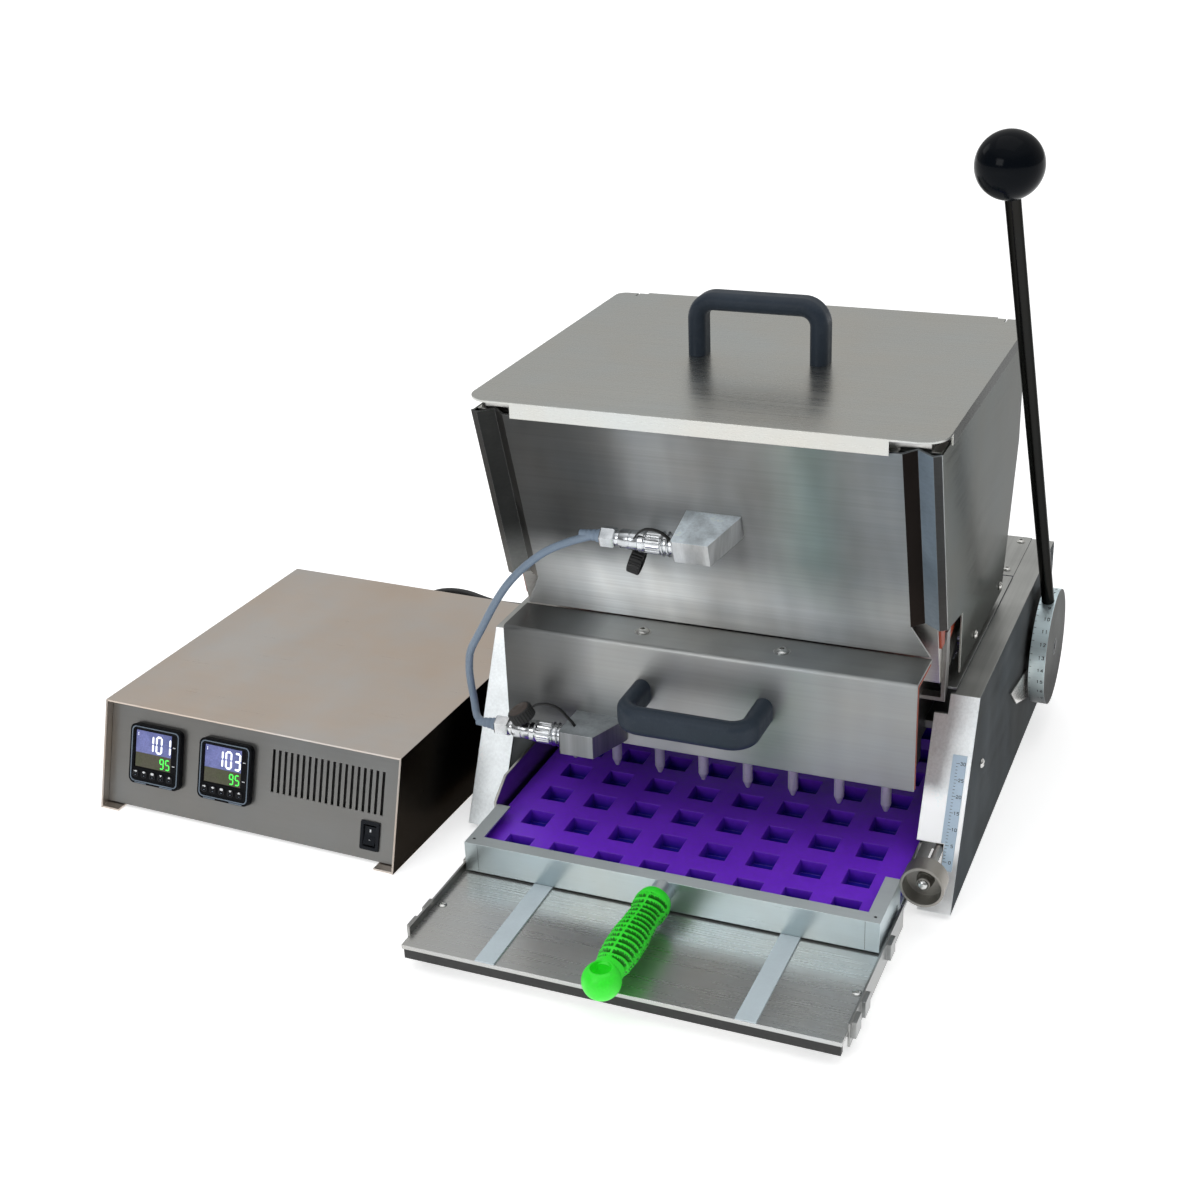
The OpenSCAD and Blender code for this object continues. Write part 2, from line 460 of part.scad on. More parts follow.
module right_button_5() color("white") at() cbutton(1, 4);
module switch_shell() color("black") at() face() difference() {
    union() { blk([235.4, 12.6, -1.5], [251.4, 34.6, -0.6]); blk([237, 14.2, -18], [249.8, 33, -1.5]); }
    blk([238, 15.3, -14], [248.8, 31.9, 0]);
}
module power_rocker() color("black") at() face() translate([238.4, 23.6, -4]) difference() {
    yz(0, 10) polygon([[-6.9, -1.2], [0, -3], [6.9, -1.2], [6.9, 2.6], [0, 2.6], [-6.9, 4.6]]);
    rodx(-1, 11, 0, 0, 1.05, 24);
}
module rocker_axle() color("gray") at() face() rodx(238, 248.8, 23.6, -4, 1, 24);
module box_gland() color("black") at() bx() translate([95, box_d - 1, 45]) rotate([-90, 0, 0]) {
    cylinder(r = 8.5, h = 5, $fn = 6);
    translate([0, 0, 5]) cylinder(r = 6.5, h = 12, $fn = 40);
    translate([0, 0, -7]) cylinder(r = 6, h = 7, $fn = 40);
}
module power_inlet() color("black") at() bx() difference() {
    union() { blk([40.5, box_d - 22, 26.2], [67.5, box_d - 1, 45.8]); blk([36, box_d - 1, 24], [72, box_d + 1, 48]); }
    blk([43, box_d - 16, 28.5], [65, box_d + 2, 43.5]);
}
module inlet_pins() color("gold") at() bx() for (u = [47.5, 54, 60.5]) blk([u - 1, box_d - 18, u == 54 ? 36.5 : 32], [u + 1, box_d - 6.5, u == 54 ? 40.5 : 36]);
module heater_relays() color("dimgray") at() bx() for (u = [165, 205]) { blk([u, 120, 6.1], [u + 30, 175, 10]); blk([u, 120, 10], [u + 30, 175, 32]); }
module terminal_block() color("ivory") at() bx() { blk([60, 200, 6.1], [150, 222, 12]); for (i = [0 : 8]) blk([61 + 10*i, 200, 12], [69 + 10*i, 222, 26]); }

module jumper_lead() color("gray") at() sweep(jump_pts, jump_r, 3, 10);
module control_lead() color("black") at() sweep(lead_pts, lead_r, 4, 10);

module side_rails() { platform_rails(); tray_guides(); }
module rubber_feet() { base_feet(); panel_feet(); box_feet(); }
module screws() { platform_fasteners(); panel_fasteners(); hopper_fasteners(); nozzle_cover_fasteners(); }
module rear_covers() { rear_sheet(); top_sheet(); }
module cable_glands() { body_gland(); box_gland(); }
module hopper_shell() { hopper_right(); hopper_left(); hopper_back(); }
module heater_mats() { tank_mats(); head_mat(); }
module support_brackets() { block_brackets(); hopper_lugs(); cover_standoffs(); quantity_brackets(); rack_guide_bar(); }
module connector_blocks() { upper_block(); lower_block(); }
module connectors() { upper_plug(); lower_plug(); }
module tray_frame() { tray_sheet(); grip_rod(); }
module drive_shaft() { shaft_bar(); pinions(); stop_arm(); }
module piston_carriage() { crosshead(); racks(); }
module quantity_knob() { knob_cup(); knob_rod(); }
module box_chassis() { box_pan(); box_back(); }
module switch_and_inlet() { switch_shell(); power_inlet(); inlet_pins(); rocker_axle(); }
module box_electrics() { heater_relays(); terminal_block(); }

base_plate();
front_platform();
side_rails();
platform_edge_trim();
slide_strips();
rubber_feet();
side_panel_right();
side_panel_left();
screws();
rear_covers();
quantity_scale();
disc_pointer();
shaft_bushes();
cable_glands();
hopper_tank();
hopper_front_cover();
hopper_shell();
heater_mats();
metering_block();
nozzle_block();
nozzles();
support_brackets();
nozzle_cover();
cover_handle();
connector_blocks();
connectors();
dust_caps();
box_cover();
box_front_panel();
box_chassis();
controller_cases();
display_lenses();
switch_and_inlet();
box_electrics();
lid_panel();
lid_handle();
tray_frame();
mould();
grip_handle();
drive_shaft();
scale_disc();
lever_rod();
lever_ball();
piston_carriage();
pistons();
quantity_knob();
quantity_stop();
power_rocker();
left_button_1();
left_button_2();
left_button_3();
left_button_4();
left_button_5();
right_button_1();
right_button_2();
right_button_3();
right_button_4();
right_button_5();
jumper_lead();
control_lead();
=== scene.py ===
import math

import bmesh
import bpy
from mathutils import Matrix, Vector


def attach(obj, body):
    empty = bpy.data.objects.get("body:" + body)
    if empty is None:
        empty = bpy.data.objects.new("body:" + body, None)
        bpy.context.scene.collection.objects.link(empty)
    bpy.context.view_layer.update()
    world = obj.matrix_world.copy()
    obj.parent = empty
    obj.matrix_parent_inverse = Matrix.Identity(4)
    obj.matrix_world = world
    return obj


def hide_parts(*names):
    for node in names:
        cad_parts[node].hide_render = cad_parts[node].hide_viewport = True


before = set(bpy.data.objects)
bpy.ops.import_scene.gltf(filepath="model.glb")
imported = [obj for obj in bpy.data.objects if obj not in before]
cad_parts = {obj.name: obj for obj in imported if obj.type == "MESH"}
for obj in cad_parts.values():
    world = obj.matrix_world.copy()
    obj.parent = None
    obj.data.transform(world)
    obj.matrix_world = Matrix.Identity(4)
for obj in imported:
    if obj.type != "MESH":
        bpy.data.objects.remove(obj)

PI = math.pi
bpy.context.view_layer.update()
SHIFT = Vector((136.54, -4.51, 0.0))


def row(p):
    """A point of the machine's own millimetres as metres in the shared frame."""
    return (Vector(p) + SHIFT) / 1000.0


def rx(d):
    return Matrix.Rotation(math.radians(d), 4, "X")


def ry(d):
    return Matrix.Rotation(math.radians(d), 4, "Y")


def rz(d):
    return Matrix.Rotation(math.radians(d), 4, "Z")


def tr(x, y, z):
    return Matrix.Translation((x, y, z))


LEAN = tr(0, -32.5, 178.9) @ rx(16.7)
BX = tr(-484.5, -144.3, 0) @ rz(-1.9)
FACE = BX @ rx(90 - 17.4) @ tr(0, 0, -5.7)
ONE = Matrix.Identity(4)

# ---------------------------------------------------------------- camera
yaw, pitch, roll = 0.4122, 0.4280, -0.0423
back = Vector((math.sin(yaw) * math.cos(pitch), -math.cos(yaw) * math.cos(pitch), math.sin(pitch)))
right = (-back).cross(Vector((0, 0, 1))).normalized()
up = right.cross(-back)
side = math.cos(roll) * right + math.sin(roll) * up
top = -math.sin(roll) * right + math.cos(roll) * up
cam_data = bpy.data.cameras.new("camera")
cam_data.lens = 53.783
cam_data.sensor_width = 36.0
cam_data.clip_start, cam_data.clip_end = 0.05, 200.0
cam = bpy.data.objects.new("camera", cam_data)
bpy.context.scene.collection.objects.link(cam)
cam.matrix_world = Matrix((
    (side.x, top.x, back.x, 0.51809),
    (side.y, top.y, back.y, -1.12087),
    (side.z, top.z, back.z, 0.72768),
    (0, 0, 0, 1)))
bpy.context.scene.camera = cam

# ---------------------------------------------------------------- cords
JUMP = [(-67, -82.8, 261.4), (-74, -83.2, 260.8), (-91, -87, 255.4), (-109, -91, 246.2), (-127.4, -95, 230),
        (-141, -98, 212), (-156.4, -99, 184.4), (-166.5, -97, 166.4), (-171.5, -92, 150), (-174.5, -86, 135),
        (-176, -81, 121), (-175, -81.5, 114.5), (-172, -86, 109.8), (-168, -91, 108.3), (-162, -94.7, 108.1),
        (-156, -95.5, 108.2), (-150.4, -95.5, 108.2)]
LEAD = [(-379.1, 167.4, 45), (-378.8, 177, 45), (-376.5, 188, 46.5), (-368, 199, 51.5), (-354, 203.5, 56.5),
        (-339, 204.5, 58.4), (-324, 204, 57.7), (-309, 203.5, 54.6), (-295, 203.5, 52.8), (-280, 204.5, 52.4),
        (-262, 205.5, 52.2), (-240, 206, 52), (-222, 206, 52), (-205.5, 206, 52)]


def at(p, i):
    return p[max(0, min(len(p) - 1, i))]


def fine(p, k):
    out = []
    for i in range(len(p) - 1):
        a, b, c, d = at(p, i - 1), at(p, i), at(p, i + 1), at(p, i + 2)
        for j in range(k):
            t = j / k
            out.append(0.5 * (2 * b + (c - a) * t + (2 * a - 5 * b + 4 * c - d) * t * t + (3 * b - a - 3 * c + d) * t ** 3))
    return out + [p[-1]]


def cord_tube(name, pts, radius, sides=16):
    """A round tube through the points, with the same curve as the CAD sweep and rings that don't twist."""
    q = fine(pts, 8)
    t = (q[1] - q[0]).normalized()
    n1 = t.orthogonal().normalized()
    vs, fs = [], []
    for i, c in enumerate(q):
        t = (q[min(i + 1, len(q) - 1)] - q[max(i - 1, 0)]).normalized()
        n1 = (n1 - t * n1.dot(t)).normalized()
        n2 = t.cross(n1)
        for k in range(sides):
            a = 2 * math.pi * k / sides
            vs.append(c + n1 * (radius * math.cos(a)) + n2 * (radius * math.sin(a)))
    for i in range(len(q) - 1):
        for k in range(sides):
            k1 = (k + 1) % sides
            fs.append((i * sides + k, i * sides + k1, (i + 1) * sides + k1, (i + 1) * sides + k))
    fs.append(tuple(range(sides - 1, -1, -1)))
    fs.append(tuple(range((len(q) - 1) * sides, len(q) * sides)))
    me = bpy.data.meshes.new(name)
    me.from_pydata([tuple(v) for v in vs], [], fs)
    for f in me.polygons:
        f.use_smooth = len(f.vertices) == 4
    me.update()
    o = bpy.data.objects.new(name, me)
    bpy.context.scene.collection.objects.link(o)
    return o


jump_pts = [row(p) for p in JUMP]
lead_pts = fine([row(p) for p in LEAD], 2)
jumper = cord_tube("jumper_cable", jump_pts, 0.0028)
control = cord_tube("control_cable", lead_pts, 0.0032)
for o, n in ((jumper, "jumper_lead"), (control, "control_lead")):
    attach(o, "chassis")
    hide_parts(n)


# ---------------------------------------------------------------- materials
def new_mat(name):
    m = bpy.data.materials.new(name)
    m.use_nodes = True
    nt = m.node_tree
    nt.nodes.clear()
    out = nt.nodes.new("ShaderNodeOutputMaterial")
    b = nt.nodes.new("ShaderNodeBsdfPrincipled")
    nt.links.new(b.outputs[0], out.inputs[0])
    return m, nt, b


def node(nt, kind, **kw):
    n = nt.nodes.new("ShaderNode" + kind)
    for k, v in kw.items():
        setattr(n, k, v)
    return n


def wire(nt, a, b):
    nt.links.new(a, b)


def math_node(nt, op, a, b=None, c=None):
    n = node(nt, "Math", operation=op)
    for i, v in enumerate((a, b, c)):
        if v is None:
            continue
        if hasattr(v, "links") or hasattr(v, "is_linked"):
            wire(nt, v, n.inputs[i])
        else:
            n.inputs[i].default_value = v
    return n.outputs[0]


def noise_at(nt, coords, scale, size=1.0, detail=3.0, rough=0.5):
    mp = node(nt, "Mapping")
    mp.inputs["Scale"].default_value = scale
    wire(nt, coords, mp.inputs["Vector"])
    n = node(nt, "TexNoise")
    n.inputs["Scale"].default_value = size
    n.inputs["Detail"].default_value = detail
    n.inputs["Roughness"].default_value = rough
    wire(nt, mp.outputs[0], n.inputs["Vector"])
    return n.outputs["Fac"]


def ranged(nt, v, lo, hi, a=0.0, b=1.0):
    n = node(nt, "MapRange")
    wire(nt, v, n.inputs["Value"])
    n.inputs["From Min"].default_value = a
    n.inputs["From Max"].default_value = b
    n.inputs["To Min"].default_value = lo
    n.inputs["To Max"].default_value = hi
    return n.outputs["Result"]


def mixed(nt, fac, a, b, kind="MIX"):
    n = node(nt, "Mix", data_type="RGBA", blend_type=kind)
    ins = [i for i in n.inputs if i.enabled]
    f, x, y = n.inputs[0], n.inputs[6], n.inputs[7]
    for s, v in ((f, fac), (x, a), (y, b)):
        if hasattr(v, "is_linked"):
            wire(nt, v, s)
        elif isinstance(v, (int, float)):
            s.default_value = v
        else:
            s.default_value = (*v, 1.0)[:4]
    return n.outputs[2]


def scaled(nt, v, col):
    """The colour col times a number that varies."""
    n = node(nt, "VectorMath", operation="SCALE")
    if hasattr(col, "is_linked"):
        wire(nt, col, n.inputs[0])
    else:
        n.inputs[0].default_value = col[:3]
    wire(nt, v, n.inputs["Scale"])
    return n.outputs[0]


def coords(nt, turn=None):
    tc = node(nt, "TexCoord")
    if turn is None:
        return tc.outputs["Object"]
    mp = node(nt, "Mapping")
    mp.inputs["Rotation"].default_value = turn
    wire(nt, tc.outputs["Object"], mp.inputs["Vector"])
    return mp.outputs[0]


GRAIN = {"x": (6, 520, 520), "y": (520, 6, 520), "z": (520, 520, 6)}


def steel(name, col, rough=0.3, grain="x", streak=0.13, mott=0.10, bump=0.10, edge=0.35, edge_r=0.0007,
          bands=0.0, band_scale=(14, 14, 1.6), warm=0.03, metallic=1.0, ramp=None, turn=None, spec=0.5, smear=0.025, facing=(), aniso=0.0, turn_aniso=0.0,
          low=None, f82=None, f82_facing=()):
    """Brushed sheet: fine lines along the rolling direction, clouds, smudges and rubbed bright edges; ramp, low,
    facing and f82_facing paint light and shade into the colour and reflection.
    """
    m, nt, b = new_mat(name)
    co = coords(nt, turn)
    lines = noise_at(nt, co, GRAIN[grain], 1.0, 3.0, 0.6)
    long_lines = noise_at(nt, co, tuple(v * 0.16 if v > 10 else v * 0.5 for v in GRAIN[grain]), 1.0, 2.0, 0.5)
    clouds = noise_at(nt, co, (9, 9, 9), 1.0, 4.0, 0.6)
    smudge = noise_at(nt, co, (42, 42, 42), 1.0, 5.0, 0.65)
    f = math_node(nt, "MULTIPLY", ranged(nt, lines, 1 - streak, 1 + streak, 0.25, 0.75),
                  ranged(nt, long_lines, 1 - streak * 0.5, 1 + streak * 0.5, 0.25, 0.75))
    f = math_node(nt, "MULTIPLY", f, ranged(nt, clouds, 1 - mott, 1 + mott, 0.25, 0.75))
    if bands:
        bd = noise_at(nt, co, band_scale, 1.0, 2.0, 0.5)
        f = math_node(nt, "MULTIPLY", f, ranged(nt, bd, 1 - bands, 1 + bands, 0.3, 0.7))
    shade = None
    # ramp: painted light and shade, a brightness gradient along one axis multiplied into the colour
    for axis, stops in ([] if not ramp else ramp if isinstance(ramp, list) else [ramp]):
        sx = node(nt, "SeparateXYZ")
        wire(nt, co, sx.inputs[0])
        v = ranged(nt, sx.outputs["XYZ".index(axis)], 0, 1, stops[0][0], stops[-1][0])
        cr = node(nt, "ValToRGB")
        while len(cr.color_ramp.elements) > 1:
            cr.color_ramp.elements.remove(cr.color_ramp.elements[-1])
        for i, (p, g) in enumerate(stops):
            q = (p - stops[0][0]) / (stops[-1][0] - stops[0][0])
            e = cr.color_ramp.elements[0] if i == 0 else cr.color_ramp.elements.new(q)
            e.position = q
            e.color = (g, g, g, 1) if isinstance(g, (int, float)) else (*g, 1)
        cr.color_ramp.interpolation = "B_SPLINE"
        wire(nt, v, cr.inputs[0])
        if shade is None:
            shade = cr.outputs[0]
        else:
            mul = node(nt, "VectorMath", operation="MULTIPLY")
            wire(nt, shade, mul.inputs[0])
            wire(nt, cr.outputs[0], mul.inputs[1])
            shade = mul.outputs[0]
    # low: a painted pool of light near the bottom, its strength changing across X
    if low:
        z0, z1, value = low
        sx = node(nt, "SeparateXYZ")
        wire(nt, co, sx.inputs[0])
        wob = math_node(nt, "ADD", sx.outputs[2], ranged(nt, clouds, -0.006, 0.006, 0.3, 0.7))
        zone = node(nt, "MapRange", interpolation_type="SMOOTHSTEP")
        wire(nt, wob, zone.inputs["Value"])
        zone.inputs["From Min"].default_value, zone.inputs["From Max"].default_value = z0, z1
        v = ranged(nt, sx.outputs[0], 0, 1, value[0][0], value[-1][0])
        cr = node(nt, "ValToRGB")
        while len(cr.color_ramp.elements) > 1:
            cr.color_ramp.elements.remove(cr.color_ramp.elements[-1])
        for i, (q0, g) in enumerate(value):
            q = (q0 - value[0][0]) / (value[-1][0] - value[0][0])
            e = cr.color_ramp.elements[0] if i == 0 else cr.color_ramp.elements.new(q)
            e.position, e.color = q, (g, g, g, 1)
        wire(nt, v, cr.inputs[0])
        shade = mixed(nt, zone.outputs["Result"], cr.outputs[0], shade)
    tint = mixed(nt, ranged(nt, clouds, 0, 1, 0.35, 0.65),
                 tuple(c * (1 + (warm if i == 0 else -warm if i == 2 else 0)) for i, c in enumerate(col)),
                 tuple(c * (1 - (warm if i == 0 else -warm if i == 2 else 0)) for i, c in enumerate(col)))
    satin = None
    # facing: lit or shaded copies of the colour on faces pointing a given way, painted light and shade; satin takes
    # metal off those faces so they read brighter
    if facing:
        own = node(nt, "TexCoord")
        for direction, lo_, hi_, other, *rest in facing:
            dt = node(nt, "VectorMath", operation="DOT_PRODUCT")
            wire(nt, own.outputs["Normal"], dt.inputs[0])
            dt.inputs[1].default_value = direction
            part = ranged(nt, dt.outputs["Value"], 0, 1, lo_, hi_)
            if rest:
                sx = node(nt, "SeparateXYZ")
                wire(nt, co, sx.inputs[0])
                part = math_node(nt, "MULTIPLY", part, ranged(nt, sx.outputs[0], 0, 1, rest[0], rest[1]))
                more = math_node(nt, "MULTIPLY", part, rest[2])
                satin = more if satin is None else math_node(nt, "ADD", satin, more)
            tint = mixed(nt, part, tint, other)
    base = scaled(nt, f, tint)
    if shade is not None:
        mul = node(nt, "VectorMath", operation="MULTIPLY")
        wire(nt, base, mul.inputs[0])
        wire(nt, shade, mul.inputs[1])
        base = mul.outputs[0]
    # f82_facing: painted shade in the reflection, the edge tint lowered on faces pointing a given way
    if f82 is not None and f82_facing:
        own = node(nt, "TexCoord")
        edge_tint = None
        for direction, lo_, hi_, value, *rest in f82_facing:
            dt = node(nt, "VectorMath", operation="DOT_PRODUCT")
            wire(nt, own.outputs["Normal"], dt.inputs[0])
            dt.inputs[1].default_value = direction
            part = ranged(nt, dt.outputs["Value"], 0, 1, lo_, hi_)
            if rest:
                sx = node(nt, "SeparateXYZ")
                wire(nt, co, sx.inputs[0])
                part = math_node(nt, "MULTIPLY", part, ranged(nt, sx.outputs[0], 0, 1, rest[0], rest[1]))
            edge_tint = mixed(nt, part, (f82,) * 3 if edge_tint is None else edge_tint, (value,) * 3)
        wire(nt, edge_tint, b.inputs["Specular Tint"])
    elif f82 is not None:
        b.inputs["Specular Tint"].default_value = (f82, f82, f82, 1.0)
    bev = node(nt, "Bevel", samples=4)
    bev.inputs["Radius"].default_value = edge_r
    geo = node(nt, "NewGeometry")
    dot = node(nt, "VectorMath", operation="DOT_PRODUCT")
    wire(nt, bev.outputs[0], dot.inputs[0])
    wire(nt, geo.outputs["Normal"], dot.inputs[1])
    rub = ranged(nt, dot.outputs["Value"], edge, 0.0, 0.75, 0.985)
    base = mixed(nt, rub, base, tuple(min(1.0, c * 1.3 + 0.10) for c in col))
    wire(nt, base, b.inputs["Base Color"])
    if satin is None:
        b.inputs["Metallic"].default_value = metallic
    else:
        wire(nt, ranged(nt, satin, metallic, 0.0), b.inputs["Metallic"])
    if aniso:
        tg = node(nt, "Tangent", direction_type="RADIAL", axis="X")
        wire(nt, tg.outputs[0], b.inputs["Tangent"])
        b.inputs["Anisotropic"].default_value = aniso
        b.inputs["Anisotropic Rotation"].default_value = turn_aniso
    if satin is None:
        b.inputs["Specular IOR Level"].default_value = spec
    else:
        wire(nt, ranged(nt, satin, spec, 0.03), b.inputs["Specular IOR Level"])
    r = math_node(nt, "ADD", ranged(nt, lines, -0.03, 0.04, 0.25, 0.75), ranged(nt, smudge, rough - smear, rough + smear * 1.4, 0.3, 0.7))
    wire(nt, r, b.inputs["Roughness"])
    bp = node(nt, "Bump")
    bp.inputs["Strength"].default_value = bump
    bp.inputs["Distance"].default_value = 0.0002
    wire(nt, lines, bp.inputs["Height"])
    wire(nt, bev.outputs[0], bp.inputs["Normal"])
    wire(nt, bp.outputs[0], b.inputs["Normal"])
    return m


def moulded(name, col, rough=0.45, pebble=900.0, bump=0.12, vary=0.12, edge=0.25, edge_r=0.0006, spec=0.5,
            coat=0.0, sub=0.0, glow=None, dust=0.0, tone=None):
    """Moulded plastic or rubber: fine pebbled skin, slight colour clouds, worn edges, a trace of dust."""
    m, nt, b = new_mat(name)
    co = coords(nt)
    skin = noise_at(nt, co, (pebble,) * 3, 1.0, 2.0, 0.5)
    clouds = noise_at(nt, co, (28, 28, 28), 1.0, 4.0, 0.6)
    fine_n = noise_at(nt, co, (160, 160, 160), 1.0, 4.0, 0.7)
    f = math_node(nt, "MULTIPLY", ranged(nt, clouds, 1 - vary, 1 + vary, 0.3, 0.7), ranged(nt, skin, 1 - vary * 0.4, 1 + vary * 0.4, 0.3, 0.7))
    src = col
    if tone:
        axis, lo, hi, other = tone
        sx = node(nt, "SeparateXYZ")
        wire(nt, co, sx.inputs[0])
        src = mixed(nt, ranged(nt, sx.outputs["XYZ".index(axis)], 0, 1, lo, hi), col, other)
    base = scaled(nt, f, src)
    bev = node(nt, "Bevel", samples=4)
    bev.inputs["Radius"].default_value = edge_r
    geo = node(nt, "NewGeometry")
    dot = node(nt, "VectorMath", operation="DOT_PRODUCT")
    wire(nt, bev.outputs[0], dot.inputs[0])
    wire(nt, geo.outputs["Normal"], dot.inputs[1])
    rub = ranged(nt, dot.outputs["Value"], edge, 0.0, 0.75, 0.985)
    base = mixed(nt, rub, base, tuple(min(1.0, c * 1.35 + 0.03) for c in col))
    if dust:
        base = mixed(nt, ranged(nt, fine_n, 0, dust, 0.55, 0.8), base, (0.55, 0.55, 0.55))
    wire(nt, base, b.inputs["Base Color"])
    b.inputs["Specular IOR Level"].default_value = spec
    b.inputs["Coat Weight"].default_value = coat
    b.inputs["Coat Roughness"].default_value = 0.08
    if sub:
        b.inputs["Subsurface Weight"].default_value = sub
        b.inputs["Subsurface Radius"].default_value = (0.004, 0.003, 0.003)
        b.inputs["Subsurface Scale"].default_value = 1.0
    if glow:
        b.inputs["Emission Color"].default_value = (*col, 1)
        b.inputs["Emission Strength"].default_value = glow
    r = math_node(nt, "ADD", ranged(nt, skin, -0.04, 0.04, 0.3, 0.7), ranged(nt, fine_n, rough - 0.06, rough + 0.08, 0.3, 0.7))
    wire(nt, r, b.inputs["Roughness"])
    bp = node(nt, "Bump")
    bp.inputs["Strength"].default_value = bump
    bp.inputs["Distance"].default_value = 0.0002
    wire(nt, skin, bp.inputs["Height"])
    wire(nt, bev.outputs[0], bp.inputs["Normal"])
    wire(nt, bp.outputs[0], b.inputs["Normal"])
    return m


